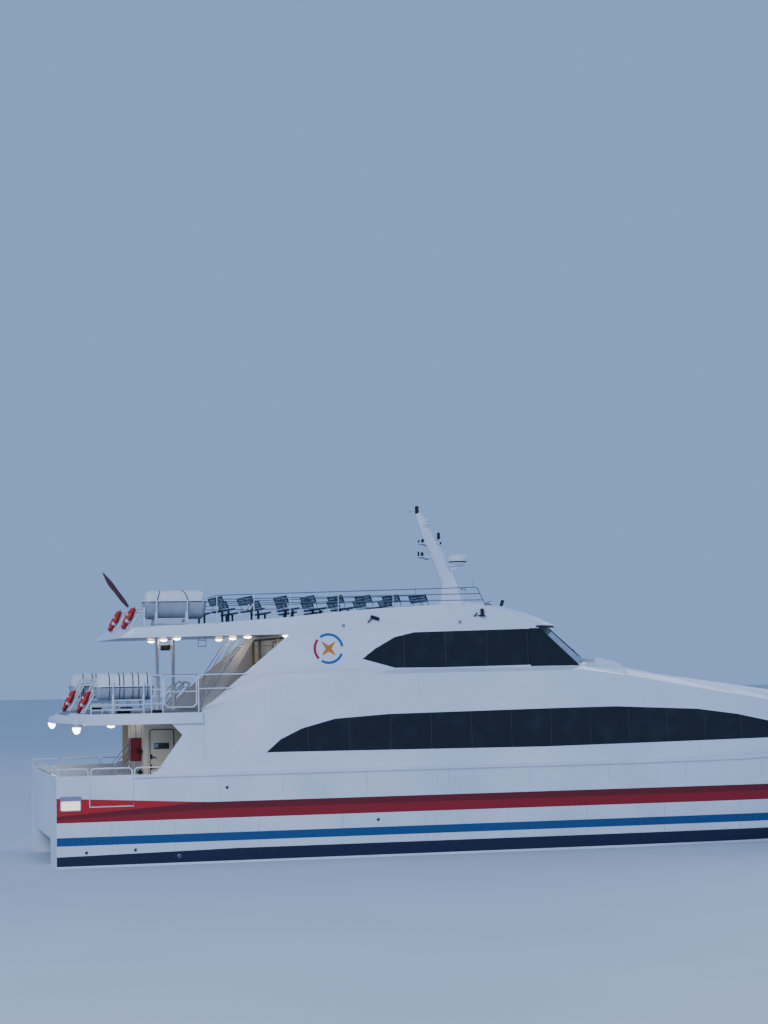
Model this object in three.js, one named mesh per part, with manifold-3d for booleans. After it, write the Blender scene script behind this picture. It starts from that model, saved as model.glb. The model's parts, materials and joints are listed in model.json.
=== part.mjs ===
// High-speed catamaran passenger ferry: two slender hulls under one bridge deck, an enclosed main-deck
// cabin, an upper deck with a cabin and wheelhouse, and an open sundeck with seat rows on the roof.
// Millimetres. x runs forward from the transom, y to port, z up from the waterline.

import * as THREE from 'three';
import { mergeVertices } from 'three/addons/utils/BufferGeometryUtils.js';
import Module from 'manifold-3d';

const wasm = await Module();
wasm.setup();

// Driving dimensions: levels
const SEAT_GAP = 0.3;
const SWING_GAP = 8;
const KNUCKLE_Z = 1200;
const MAIN_DECK_Z = 1645;
const SHEER_Z = 2500;
const BOW_DECK_Z = 2500;
const TUNNEL_ROOF_Z = 720;
const CEILING_Z = 3870;
const UPPER_DECK_Z = 4170;
const SUNDECK_Z = 6560;

// Driving dimensions: lengths and thicknesses
const HULL_CENTRE_Y = 3070;
const HULL_PLATE = 70;
const WALL = 60;
const CABIN_AFT_X = 4905;
const BOW_STEP_X = 22300;
const NOSE_SPLIT_X = 22000;
const HOUSE_FRONT_X = 15300;
const DECKHOUSE_AFT_X = 6750;
const PIPE_R = 19;
const RAIL_SIDES = 5;

// Demihull stations: x, half width at deck, half width at chine, chine height, keel height, top height
const HULL_STATIONS = [
  { x: 0, deck: 930, chine: 900, chineZ: -50, keelZ: -300, topZ: SHEER_Z },
  { x: 2500, deck: 930, chine: 905, chineZ: -70, keelZ: -560, topZ: SHEER_Z },
  { x: 5200, deck: 930, chine: 905, chineZ: -100, keelZ: -1050, topZ: SHEER_Z },
  { x: 10000, deck: 930, chine: 905, chineZ: -100, keelZ: -1300, topZ: SHEER_Z },
  { x: 16500, deck: 930, chine: 880, chineZ: -50, keelZ: -1300, topZ: SHEER_Z },
  { x: 20000, deck: 880, chine: 760, chineZ: 150, keelZ: -1220, topZ: 2530 },
  { x: 22500, deck: 760, chine: 540, chineZ: 450, keelZ: -1020, topZ: 2640 },
  { x: 24500, deck: 560, chine: 270, chineZ: 850, keelZ: -500, topZ: 2790 },
  { x: 25700, deck: 340, chine: 110, chineZ: 1150, keelZ: 500, topZ: 2920 },
  { x: 26500, deck: 70, chine: 40, chineZ: 1190, keelZ: 1130, topZ: 3020 },
];

// Lower cabin stations: x, half width at sheer, shoulder half width and height, inner half width and
// height where the house meets the shoulder, crown height on the centreline
const CABIN_STATIONS = [
  { x: 4060, side: 3925, shoulder: 3900, shoulderZ: 4190, inner: 3560, innerZ: 4260, crownZ: 4300 },
  { x: 5080, side: 3925, shoulder: 3885, shoulderZ: 4560, inner: 3560, innerZ: 4850, crownZ: 4900 },
  { x: 6110, side: 3925, shoulder: 3870, shoulderZ: 4930, inner: 3560, innerZ: 5180, crownZ: 5230 },
  { x: 8080, side: 3925, shoulder: 3860, shoulderZ: 5130, inner: 3560, innerZ: 5250, crownZ: 5300 },
  { x: 15300, side: 3925, shoulder: 3840, shoulderZ: 5150, inner: 3540, innerZ: 5260, crownZ: 5430 },
  { x: 16700, side: 3915, shoulder: 3790, shoulderZ: 4960, inner: 3460, innerZ: 5130, crownZ: 5390 },
  { x: 18400, side: 3880, shoulder: 3710, shoulderZ: 4650, inner: 3370, innerZ: 4820, crownZ: 5020 },
  { x: 20200, side: 3790, shoulder: 3600, shoulderZ: 4330, inner: 3260, innerZ: 4530, crownZ: 4770 },
  { x: 22000, side: 3590, shoulder: 3380, shoulderZ: 4030, inner: 3060, innerZ: 4250, crownZ: 4500 },
  { x: 23400, side: 3250, shoulder: 3040, shoulderZ: 3810, inner: 2740, innerZ: 4010, crownZ: 4260 },
  { x: 24900, side: 2700, shoulder: 2500, shoulderZ: 3560, inner: 2240, innerZ: 3740, crownZ: 3980 },
];

// Raked nose of the lower cabin in plan: y, x at the foot, x at the eyebrow
const NOSE_FOOT_Z = 2500;
const NOSE_BROW_Z = 4300;
const NOSE_STATIONS = [
  { y: -4200, footX: 22750, browX: 21750 },
  { y: -3000, footX: 23850, browX: 22750 },
  { y: -1500, footX: 24650, browX: 23500 },
  { y: 0, footX: 24850, browX: 23700 },
  { y: 1500, footX: 24650, browX: 23500 },
  { y: 3000, footX: 23850, browX: 22750 },
  { y: 4200, footX: 22750, browX: 21750 },
];

// Upper house: half width at its foot, at the window sill and under the roof
const HOUSE_FOOT_Y = 3530;
const HOUSE_SILL_Y = 3510;
const HOUSE_SILL_Z = 5200;
const HOUSE_TOP_Y = 3420;

// Raked windscreen in plan: y, x at the sill, x under the visor
const SCREEN_SILL_Z = 5260;
const SCREEN_TOP_Z = 6420;
const SCREEN_STATIONS = [
  { y: -3700, sillX: 15180, topX: 13920 },
  { y: -3400, sillX: 15300, topX: 14040 },
  { y: -1900, sillX: 16120, topX: 14820 },
  { y: 0, sillX: 16420, topX: 15080 },
  { y: 1900, sillX: 16120, topX: 14820 },
  { y: 3400, sillX: 15300, topX: 14040 },
  { y: 3700, sillX: 15180, topX: 13920 },
];

// Roof stations: x, half width, underside, top of the side coaming, crown
const ROOF_STATIONS = [
  { x: 1890, half: 3420, underZ: 6260, edgeZ: 6290, crownZ: 6300 },
  { x: 2240, half: 3420, underZ: 6264, edgeZ: 6560, crownZ: 6570 },
  { x: 4480, half: 3420, underZ: 6287, edgeZ: 6650, crownZ: 6670 },
  { x: 6700, half: 3420, underZ: 6310, edgeZ: 6795, crownZ: 6820 },
  { x: 8110, half: 3420, underZ: 6331, edgeZ: 6930, crownZ: 6960 },
  { x: 9730, half: 3420, underZ: 6354, edgeZ: 7040, crownZ: 7080 },
  { x: 11840, half: 3420, underZ: 6385, edgeZ: 7120, crownZ: 7180 },
  { x: 12600, half: 3420, underZ: 6396, edgeZ: 7050, crownZ: 7205 },
  { x: 13400, half: 3420, underZ: 6408, edgeZ: 6850, crownZ: 7170 },
  { x: 14150, half: 3400, underZ: 6419, edgeZ: 6580, crownZ: 6990 },
  { x: 14800, half: 2560, underZ: 6428, edgeZ: 6500, crownZ: 6770 },
  { x: 15180, half: 1700, underZ: 6434, edgeZ: 6480, crownZ: 6610 },
  { x: 15450, half: 700, underZ: 6438, edgeZ: 6465, crownZ: 6500 },
];

// Window bands seen from the side: x and z, clockwise from the aft tip
const LOWER_BAND = [
  [5850, 3010], [6250, 3360], [6860, 3650], [7820, 3900], [9400, 4000], [14500, 4060], [16200, 4070],
  [18800, 3940], [20100, 3760], [21400, 3480], [21400, 3040], [14000, 2960],
];
const UPPER_BAND = [
  [8750, 5570], [9120, 5850], [9720, 6180], [10310, 6310], [13780, 6370], [14930, 5330], [11030, 5290],
  [9700, 5300],
];

// Small shape helpers

function solidOf(geometry) {
  const bare = geometry.clone();
  bare.deleteAttribute('normal');
  bare.deleteAttribute('uv');
  const merged = mergeVertices(bare, 1e-3);
  return new wasm.Manifold(new wasm.Mesh({
    numProp: 3,
    vertProperties: new Float32Array(merged.attributes.position.array),
    triVerts: new Uint32Array(merged.index.array),
  }));
}

function geometryOf(solid) {
  const mesh = solid.getMesh();
  const geometry = new THREE.BufferGeometry();
  geometry.setAttribute('position', new THREE.BufferAttribute(mesh.vertProperties, 3));
  geometry.setIndex(new THREE.BufferAttribute(mesh.triVerts, 1));
  geometry.computeVertexNormals();
  return geometry;
}

function union(solids) {
  return solids.reduce((sum, solid) => sum.add(solid));
}

function box(x0, x1, y0, y1, z0, z1) {
  const geometry = new THREE.BoxGeometry(x1 - x0, y1 - y0, z1 - z0);
  geometry.translate((x0 + x1) / 2, (y0 + y1) / 2, (z0 + z1) / 2);
  return solidOf(geometry);
}

const AXIS_FRAMES = {
  x: [[0, 1, 0], [0, 0, 1], [1, 0, 0]],
  y: [[1, 0, 0], [0, 0, 1], [0, -1, 0]],
  z: [[1, 0, 0], [0, 1, 0], [0, 0, 1]],
};

// Straight prism: an outline in the two other axes (in x, y, z order), swept along one axis
function prism(axis, outline, from, to) {
  const shape = new THREE.Shape(outline.map(([a, b]) => new THREE.Vector2(a, b)));
  const geometry = new THREE.ExtrudeGeometry(shape, { depth: to - from, bevelEnabled: false });
  const [u, v, w] = AXIS_FRAMES[axis].map((row) => new THREE.Vector3(...row));
  geometry.applyMatrix4(new THREE.Matrix4().makeBasis(u, v, w));
  const shift = axis === 'y' ? to : from;
  geometry.translate(axis === 'x' ? shift : 0, axis === 'y' ? shift : 0, axis === 'z' ? shift : 0);
  return solidOf(geometry);
}

function pointOn(axis, at, [a, b]) {
  if (axis === 'x') return [at, a, b];
  if (axis === 'y') return [a, at, b];
  return [a, b, at];
}

function signedVolume(positions, index) {
  let sum = 0;
  const corner = (i) => new THREE.Vector3(positions[3 * i], positions[3 * i + 1], positions[3 * i + 2]);
  for (let i = 0; i < index.length; i += 3) {
    sum += corner(index[i]).dot(corner(index[i + 1]).cross(corner(index[i + 2])));
  }
  return sum / 6;
}

// Closed loft through rings of equal point count: stations are { at, ring } along one axis
function loft(axis, stations) {
  const count = stations[0].ring.length;
  const positions = stations.flatMap(({ at, ring }) => ring.flatMap((point) => pointOn(axis, at, point)));
  const index = [];
  for (let s = 0; s + 1 < stations.length; s += 1) {
    for (let k = 0; k < count; k += 1) {
      const a = s * count + k;
      const b = s * count + ((k + 1) % count);
      index.push(a, b, b + count, a, b + count, a + count);
    }
  }
  for (const end of [0, stations.length - 1]) {
    const contour = stations[end].ring.map(([a, b]) => new THREE.Vector2(a, b));
    const turn = Math.sign(THREE.ShapeUtils.area(contour));
    for (const face of THREE.ShapeUtils.triangulateShape(contour, [])) {
      const faceTurn = Math.sign(THREE.ShapeUtils.area(face.map((i) => contour[i])));
      const outward = end === 0 ? -turn : turn;
      const [p, q, r] = faceTurn === outward ? face : [face[0], face[2], face[1]];
      index.push(end * count + p, end * count + q, end * count + r);
    }
  }
  if (signedVolume(positions, index) < 0) index.reverse();
  const geometry = new THREE.BufferGeometry();
  geometry.setAttribute('position', new THREE.Float32BufferAttribute(positions, 3));
  geometry.setIndex(index);
  return solidOf(geometry);
}

// Round bar between two points
function bar(from, to, radius = PIPE_R, sides = RAIL_SIDES) {
  const a = new THREE.Vector3(...from);
  const b = new THREE.Vector3(...to);
  const along = b.clone().sub(a);
  const geometry = new THREE.CylinderGeometry(radius, radius, along.length(), sides);
  const turn = new THREE.Quaternion().setFromUnitVectors(new THREE.Vector3(0, 1, 0), along.normalize());
  geometry.applyQuaternion(turn);
  geometry.translate((a.x + b.x) / 2, (a.y + b.y) / 2, (a.z + b.z) / 2);
  return solidOf(geometry);
}

// Bent pipe through points: straight bars that run half a radius past each corner
function pipe(points, radius = PIPE_R, sides = RAIL_SIDES) {
  const bars = [];
  for (let i = 0; i + 1 < points.length; i += 1) {
    const a = new THREE.Vector3(...points[i]);
    const b = new THREE.Vector3(...points[i + 1]);
    const step = b.clone().sub(a).normalize().multiplyScalar(radius * 0.6);
    const from = i > 0 ? a.clone().sub(step) : a;
    const to = i + 2 < points.length ? b.clone().add(step) : b;
    bars.push(bar(from.toArray(), to.toArray(), radius, sides));
  }
  return union(bars);
}

function mirrored(solid) {
  return solid.mirror([0, 1, 0]);
}

function interpolate(stations, x, key) {
  const last = stations.length - 1;
  const next = Math.min(Math.max(stations.findIndex((station) => station.x >= x), 1), last);
  const low = stations[next - 1];
  const high = stations[next];
  return THREE.MathUtils.mapLinear(x, low.x, high.x, low[key], high[key]);
}

// The full ring of a symmetric section from its port half, listed from the foot to the crown
function bothSides(half) {
  const starboard = half.filter(([y]) => y > 0).map(([y, z]) => [-y, z]).reverse();
  return [...half, ...starboard];
}

// Hulls

function hullRing(station, centre, grow) {
  const { deck, chine, chineZ, keelZ, topZ } = station;
  const bilgeZ = THREE.MathUtils.lerp(chineZ, keelZ, 0.55);
  const half = [
    [deck + grow, topZ + grow],
    [deck + grow, Math.max(KNUCKLE_Z, chineZ + 5)],
    [chine + grow, chineZ],
    [chine * 0.62 + grow, bilgeZ],
    [50 + grow, keelZ - grow],
  ];
  const other = half.map(([y, z]) => [-y, z]).reverse();
  return [...half, ...other].map(([y, z]) => [centre + y, z]);
}

function hullBody(centre, grow = 0) {
  return loft('x', HULL_STATIONS.map((station) => ({ at: station.x, ring: hullRing(station, centre, grow) })));
}

// Half breadth of the outer side at deck level
function outerSide(x) {
  return HULL_CENTRE_Y + interpolate(HULL_STATIONS, x, 'deck');
}

const STRAKE = { fromX: 2110, toX: 22500, height: 90, proud: 55 };

// Rubbing strake along the top of the side, starboard
function strake() {
  const knots = [STRAKE.fromX, 5200, 16500, 20000, STRAKE.toX];
  return loft('x', knots.map((x) => {
    const y = -outerSide(x);
    const topZ = interpolate(HULL_STATIONS, x, 'topZ');
    const low = topZ - STRAKE.height;
    return {
      at: x,
      ring: [[y + 20, low - 30], [y - STRAKE.proud, low + 10], [y - STRAKE.proud, topZ - 12], [y + 20, topZ]],
    };
  }));
}

// Hinge barrels on the moving leaf: their round sides turn in place a seat gap from the jamb
const BARREL = { radius: 12, length: 90, sides: 16 };

function barrels(x, y, fromZ, toZ, count) {
  const parts = [];
  for (let k = 0; k < count; k += 1) {
    const z = THREE.MathUtils.lerp(fromZ, toZ, k / (count - 1));
    parts.push(bar([x, y, z - BARREL.length / 2], [x, y, z + BARREL.length / 2], BARREL.radius, BARREL.sides));
  }
  return union(parts);
}

// Distance from a jamb to the barrels' axis
const PIN_OFFSET = BARREL.radius + SEAT_GAP;

const GATE = { fromX: 920, toX: 2100, footZ: 1675 };
const ENGINE_ROOM = { fromX: 850, toX: 5000, fromY: 2380, toY: 3760, floorZ: 0, headZ: 1500 };
const HATCH = { fromX: 900, toX: 1800, fromY: 2500, toY: 3400, lid: 20 };
const SHAFT = { z: -920, radius: 45, aftX: 1120, foreX: 5600, strutX: 1380 };
const STOCK = { x: 430, radius: 40, topZ: -200, headZ: -200 + SEAT_GAP };

function planCut(fromX, toX, floorZ) {
  const knots = [fromX, 16500, 20000, 22500, 24500, 25700, toX].filter((x) => x >= fromX && x <= toX);
  const outer = [...new Set(knots)].map((x) => [x, -(outerSide(x) - HULL_PLATE)]);
  const inner = [[toX, -1000], [fromX, -1000]];
  return prism('z', [...outer, ...inner], floorZ, 4000);
}

function demihull() {
  const centre = -HULL_CENTRE_Y;
  const shaftWay = bar([SHAFT.aftX, centre, SHAFT.z], [SHAFT.foreX, centre, SHAFT.z], SHAFT.radius, 12);
  const strut = prism('z', [
    [SHAFT.strutX - 130, centre - 4], [SHAFT.strutX, centre - 24], [SHAFT.strutX + 150, centre - 4],
    [SHAFT.strutX + 150, centre + 4], [SHAFT.strutX, centre + 24], [SHAFT.strutX - 130, centre + 4],
  ], SHAFT.z, -300);
  const barrel = bar([SHAFT.strutX - 140, centre, SHAFT.z], [SHAFT.strutX + 160, centre, SHAFT.z], 75, 12);
  const gateWay = box(
    GATE.fromX - SWING_GAP, GATE.toX + SWING_GAP, -4300, -(HULL_CENTRE_Y + 700), GATE.footZ - 10, 3000,
  );
  const room = box(
    ENGINE_ROOM.fromX, ENGINE_ROOM.toX, -ENGINE_ROOM.toY, -ENGINE_ROOM.fromY,
    ENGINE_ROOM.floorZ, ENGINE_ROOM.headZ,
  );
  const hatchWay = box(HATCH.fromX, HATCH.toX, -HATCH.toY, -HATCH.fromY, 1000, 2000);
  const stockHole = bar([STOCK.x, centre, -700], [STOCK.x, centre, STOCK.headZ], STOCK.radius + 5, 16);
  return union([hullBody(centre), strake(), shaftWay, strut, barrel])
    .subtract(planCut(HULL_PLATE, BOW_STEP_X, MAIN_DECK_Z))
    .subtract(planCut(BOW_STEP_X - 1, 26100, BOW_DECK_Z))
    .subtract(gateWay)
    .subtract(room)
    .subtract(hatchWay)
    .subtract(stockHole);
}

function engine() {
  const block = { fromX: 2300, toX: 4300, fromY: 2620, toY: 3520, height: 1150 };
  return box(block.fromX, block.toX, -block.toY, -block.fromY, SEAT_GAP, block.height);
}

function hatchLid() {
  const rim = 45;
  return union([
    box(HATCH.fromX - rim, HATCH.toX + rim, -HATCH.toY - rim, -HATCH.fromY + rim,
      MAIN_DECK_Z + SEAT_GAP, MAIN_DECK_Z + HATCH.lid),
    box(HATCH.fromX + 30, HATCH.toX - SWING_GAP, -HATCH.toY + SWING_GAP, -HATCH.fromY - SWING_GAP,
      MAIN_DECK_Z - 40, MAIN_DECK_Z + HATCH.lid),
  ]);
}

function bulwarkGate() {
  const face = -(HULL_CENTRE_Y + HULL_STATIONS[0].deck);
  const panel = box(GATE.fromX, GATE.toX, face, face + 45, GATE.footZ, SHEER_Z);
  const loopTop = SHEER_Z + 190;
  const y = face + 24;
  const loop = pipe([
    [GATE.fromX + 30, y, SHEER_Z - 10], [GATE.fromX + 30, y, loopTop - 60], [GATE.fromX + 90, y, loopTop],
    [GATE.toX - 90, y, loopTop], [GATE.toX - 30, y, loopTop - 60], [GATE.toX - 30, y, SHEER_Z - 10],
  ]);
  const hinge = barrels(GATE.toX + SWING_GAP - PIN_OFFSET, face + 45, GATE.footZ + 120, SHEER_Z - 120, 2);
  return union([panel, loop, hinge]);
}

function propeller(centre, handed) {
  const hub = bar([SHAFT.aftX - 190, centre, SHAFT.z], [SHAFT.aftX - SEAT_GAP, centre, SHAFT.z], 70, 12);
  const blades = [];
  for (let k = 0; k < 4; k += 1) {
    const outline = new THREE.Shape();
    outline.moveTo(-60, 40);
    outline.quadraticCurveTo(-190, 210, -95, 370);
    outline.quadraticCurveTo(0, 440, 95, 370);
    outline.quadraticCurveTo(190, 210, 60, 40);
    const blade = new THREE.ExtrudeGeometry(outline, { depth: 22, bevelEnabled: false, curveSegments: 4 });
    blade.translate(0, 0, -11);
    blade.rotateY(Math.PI / 2 - handed * 0.6);
    blade.rotateX((k * Math.PI) / 2);
    blade.translate(SHAFT.aftX - 95, centre, SHAFT.z);
    blades.push(solidOf(blade));
  }
  return union([hub, ...blades]);
}

function rudder(centre) {
  const foil = [[700, 0], [620, 34], [450, 42], [60, 6], [60, -6], [450, -42], [620, -34]];
  const blade = prism('z', foil.map(([x, y]) => [x, centre + y]), -1330, -470);
  const stock = bar([STOCK.x, centre, -480], [STOCK.x, centre, STOCK.topZ], STOCK.radius, 16);
  return blade.add(stock);
}

// Bridge deck between the hulls, with the raised bow deck at its forward end
function bridgeDeck() {
  const side = [
    [0, TUNNEL_ROOF_Z], [21000, TUNNEL_ROOF_Z], [22800, 900], [24100, 1300], [25000, 1900], [25450, BOW_DECK_Z],
    [BOW_STEP_X, BOW_DECK_Z], [BOW_STEP_X, MAIN_DECK_Z], [HULL_PLATE, MAIN_DECK_Z], [HULL_PLATE, SHEER_Z],
    [0, SHEER_Z],
  ];
  const hull = hullBody(-HULL_CENTRE_Y, SEAT_GAP);
  return prism('y', side, -3000, 3000)
    .subtract(hull)
    .subtract(mirrored(hull))
    .add(deckPad(450, 0, MAIN_DECK_Z))
    .add(deckPad(24950, 1700, BOW_DECK_Z));
}

// Square doubler plate welded to a deck, for a fitting
const PAD = { half: 150, thickness: 8 };

function deckPad(x, y, deckZ) {
  return box(x - PAD.half, x + PAD.half, y - PAD.half, y + PAD.half, deckZ - 10, deckZ + PAD.thickness);
}

// Stern rail: a quarter loop on each bulwark and a rail across the transom
function sternRail() {
  const loopTop = SHEER_Z + 190;
  const y = HULL_CENTRE_Y + HULL_STATIONS[0].deck - HULL_PLATE / 2;
  const foreX = 860;
  const foot = SHEER_Z + SEAT_GAP;
  const parts = [bar([40, -y, loopTop], [40, y, loopTop])];
  for (const side of [-1, 1]) {
    parts.push(pipe([
      [foreX, side * y, foot], [foreX, side * y, loopTop - 60], [foreX - 60, side * y, loopTop],
      [40, side * y, loopTop],
    ]));
    for (const acrossY of [y, 1300]) parts.push(bar([40, side * acrossY, foot], [40, side * acrossY, loopTop]));
  }
  return union(parts);
}

// Short rail forward of the bulwark gate, starboard
function quarterRail() {
  const y = -(HULL_CENTRE_Y + HULL_STATIONS[0].deck - HULL_PLATE / 2);
  const top = SHEER_Z + 190;
  return pipe([
    [2140, y, SHEER_Z + SEAT_GAP], [2140, y, top - 60], [2200, y, top], [2800, y, top], [2950, -3900, top],
  ]);
}

// Lower cabin: shell between an outer and an inner body

function cabinBody(inset) {
  const ring = (station) => bothSides([
    [station.side - inset, MAIN_DECK_Z + SEAT_GAP - (inset > 0 ? 10 : 0)],
    [station.side - inset, SHEER_Z],
    [station.shoulder - inset, station.shoulderZ - inset * 0.4],
    [station.inner - inset * 0.4, station.innerZ - inset],
    [station.inner * 0.5, station.crownZ * 0.75 + station.innerZ * 0.25 - inset],
    [0, station.crownZ - inset],
  ]);
  return loft('x', CABIN_STATIONS.map((station) => ({ at: station.x, ring: ring(station) })));
}

// Everything behind the raked nose, drawn back by an inset
function behindNose(inset) {
  const reach = (station, z) => {
    const t = (z - NOSE_FOOT_Z) / (NOSE_BROW_Z - NOSE_FOOT_Z);
    return THREE.MathUtils.lerp(station.footX, station.browX, t) - inset;
  };
  const lowZ = 1000;
  const highZ = 6000;
  return loft('y', NOSE_STATIONS.map((station) => ({
    at: station.y,
    ring: [[2000, lowZ], [reach(station, lowZ), lowZ], [reach(station, highZ), highZ], [2000, highZ]],
  })));
}

function cabinShell(outerInset, innerInset) {
  const outer = cabinBody(outerInset).intersect(behindNose(outerInset));
  const inner = cabinBody(innerInset).intersect(behindNose(innerInset));
  return outer.subtract(inner);
}

// An outline moved outwards by an even distance, or inwards by a negative one
function offsetOutline(outline, distance) {
  const points = outline.map(([a, b]) => new THREE.Vector2(a, b));
  const turn = Math.sign(THREE.ShapeUtils.area(points));
  return points.map((point, i) => {
    const before = point.clone().sub(points.at(i - 1)).normalize();
    const after = points[(i + 1) % points.length].clone().sub(point).normalize();
    const normal = new THREE.Vector2(before.y + after.y, -before.x - after.x).multiplyScalar(turn);
    const reach = distance / (1 + before.dot(after));
    return [point.x + normal.x * reach, point.y + normal.y * reach];
  });
}

function sideBand(outline, grow) {
  return prism('y', offsetOutline(outline, grow), -4500, -2500);
}

// Windows across the nose: y from and to, one pane each
const NOSE_PANES = [[-2850, -1560], [-1440, -60], [60, 1440], [1560, 2850]];
const NOSE_SILL_Z = 2960;
const NOSE_HEAD_Z = 3480;

function noseWindows(grow) {
  return union(NOSE_PANES.map(([from, to]) => box(
    NOSE_SPLIT_X + 600, 25500, from - grow, to + grow, NOSE_SILL_Z - grow, NOSE_HEAD_Z + grow,
  )));
}

// One sheet behind all panes of the nose
function noseGlass() {
  return box(NOSE_SPLIT_X + 600, 25500, -2950, 2950, NOSE_SILL_Z - 60, NOSE_HEAD_Z + 60);
}

const FOREDECK_HALF = 3150;
const HOUSE_WELL_HALF = 3560;

function cabinParts() {
  const shell = cabinShell(0, WALL);
  const aftOfNose = shell.intersect(box(0, NOSE_SPLIT_X, -5000, 5000, 0, 9000));
  const nose = shell.intersect(box(NOSE_SPLIT_X + SEAT_GAP, 30000, -5000, 5000, BOW_DECK_Z + SEAT_GAP, 9000));
  const topWell = box(0, HOUSE_FRONT_X, -HOUSE_WELL_HALF, HOUSE_WELL_HALF, 3900, 9000);
  const foredeckCut = box(HOUSE_FRONT_X, 30000, -FOREDECK_HALF, FOREDECK_HALF, 4000, 9000);
  const foredeck = aftOfNose.intersect(box(
    HOUSE_FRONT_X + SEAT_GAP, 30000, -FOREDECK_HALF + SEAT_GAP, FOREDECK_HALF - SEAT_GAP, 4000, 9000,
  )).add(foredeckFairing());
  const openEnds = box(0, 4800, -HOUSE_WELL_HALF, HOUSE_WELL_HALF, 0, 9000);
  const side = aftOfNose
    .subtract(topWell)
    .subtract(foredeckCut)
    .subtract(openEnds)
    .intersect(box(0, 30000, -5000, 0, 0, 9000))
    .add(aftWing())
    .subtract(sideBand(LOWER_BAND, 0))
    .add(quarterRail());
  return { side, nose: nose.subtract(noseWindows(0)), foredeck };
}

// Low fairing on the foredeck just ahead of the windscreen
function foredeckFairing() {
  return prism('y', [[16560, 5300], [17500, 5150], [17350, 5330], [16700, 5500], [16560, 5480]], -1150, 1150);
}

// Side plating beside the aft deck, with the raked open edge of the covered way, starboard
function aftWing() {
  const outline = [
    [2640, MAIN_DECK_Z + SEAT_GAP], [4070, MAIN_DECK_Z + SEAT_GAP], [4070, CEILING_Z - SEAT_GAP],
    [3190, CEILING_Z - SEAT_GAP], [3490, 3550], [2780, 2580], [2640, 2540],
  ];
  return prism('y', outline, -3925, -3925 + WALL);
}

// Upper deck slab with the stairwell. Its aft edge is bowed in plan: x on the centreline and at the corners.
// The top falls away to the edge over a slope that is shorter towards the corners.
const DECK_AFT_X = 213;
const DECK_CORNER_X = 800;
const DECK_EDGE_STEPS = 8;
const DECK_EDGE = { noseZ: 4000, undercut: 25, slopeRun: 470, slopeLoss: 0.65 };
const STAIR = { fromY: 620, toY: 1480, footX: 2050, headX: 4050, wellFromX: 2900, wellToX: 4150 };

function upperDeck() {
  const overhangForeX = 4055;
  const half = 3990;
  const stations = [];
  for (let k = 0; k <= DECK_EDGE_STEPS; k += 1) {
    const y = THREE.MathUtils.lerp(-half, half, k / DECK_EDGE_STEPS);
    const bow = (y / half) ** 2;
    const edge = THREE.MathUtils.lerp(DECK_AFT_X, DECK_CORNER_X, bow);
    const slope = DECK_EDGE.slopeRun * (1 - DECK_EDGE.slopeLoss * bow);
    stations.push({
      at: y,
      ring: [
        [edge + DECK_EDGE.undercut, CEILING_Z], [edge, CEILING_Z + DECK_EDGE.undercut], [edge, DECK_EDGE.noseZ],
        [edge + slope, UPPER_DECK_Z], [overhangForeX, UPPER_DECK_Z], [overhangForeX, CEILING_Z],
      ],
    });
  }
  const overhang = loft('y', stations);
  const inside = box(4050, 15200, -3780, 3780, CEILING_Z, UPPER_DECK_Z);
  const well = box(STAIR.wellFromX, STAIR.wellToX, STAIR.fromY - 40, STAIR.toY + 40, 3000, 5000);
  return overhang.add(inside).subtract(well).add(deckPad(5600, -2400, UPPER_DECK_Z));
}

// Stairs: two stringers, treads and handrails
function stairway(footX, headX, footZ, headZ, fromY, toY, treads) {
  const run = headX - footX;
  const rise = headZ - footZ;
  const parts = [];
  for (const y of [fromY, toY - 40]) {
    parts.push(prism('y', [
      [footX, footZ + SEAT_GAP], [footX + 260, footZ + SEAT_GAP], [headX, headZ - 240], [headX, headZ - 20],
      [headX - 60, headZ - 20], [footX, footZ + 160],
    ], y, y + 40));
  }
  for (let k = 1; k <= treads; k += 1) {
    const t = k / (treads + 1);
    const x = footX + run * t;
    const z = footZ + rise * t;
    parts.push(box(x - 30, x + 190, fromY + 20, toY - 20, z - 25, z));
  }
  for (const y of [fromY + 20, toY - 20]) {
    parts.push(pipe([
      [footX + 90, y, footZ + 100], [footX + 90, y, footZ + 900], [headX - 60, y, headZ + 760],
      [headX - 60, y, headZ - 100],
    ], 17));
    parts.push(bar([footX + 90, y, footZ + 500], [headX - 60, y, headZ + 360], 14));
  }
  return union(parts);
}

// Aft casing beside the covered way, with its door opening to starboard
const CASING = { aftX: 2550, starboardY: -2750, portY: 500, wall: 50 };
const CASING_DOOR = { fromX: 2690, toX: 3450, footZ: 1720, headZ: 3715 };
const LEAF = 40;

function casing() {
  const { aftX, starboardY, portY, wall } = CASING;
  const low = MAIN_DECK_Z + SEAT_GAP;
  const high = CEILING_Z - SEAT_GAP;
  return box(aftX, CABIN_AFT_X - SEAT_GAP, starboardY, portY, low, high)
    .subtract(box(aftX + wall, CABIN_AFT_X - wall, starboardY + wall, portY - wall, low + 30, high - 30))
    .subtract(box(CASING_DOOR.fromX, CASING_DOOR.toX, starboardY - 50, starboardY + 100,
      CASING_DOOR.footZ, CASING_DOOR.headZ));
}

// Screen along the far side of the main stair, from the deck to the ceiling
function stairScreen() {
  const fromY = STAIR.toY + 50;
  return box(2500, STAIR.headX, fromY, fromY + LEAF, MAIN_DECK_Z + SEAT_GAP, CEILING_Z - SEAT_GAP);
}

function casingDoor() {
  const leaf = box(CASING_DOOR.fromX + SWING_GAP, CASING_DOOR.toX - SWING_GAP, CASING.starboardY,
    CASING.starboardY + LEAF, CASING_DOOR.footZ + SWING_GAP, CASING_DOOR.headZ - SWING_GAP);
  return leaf.add(barrels(CASING_DOOR.toX - PIN_OFFSET, CASING.starboardY, CASING_DOOR.footZ + 250,
    CASING_DOOR.headZ - 250, 3));
}

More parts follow.
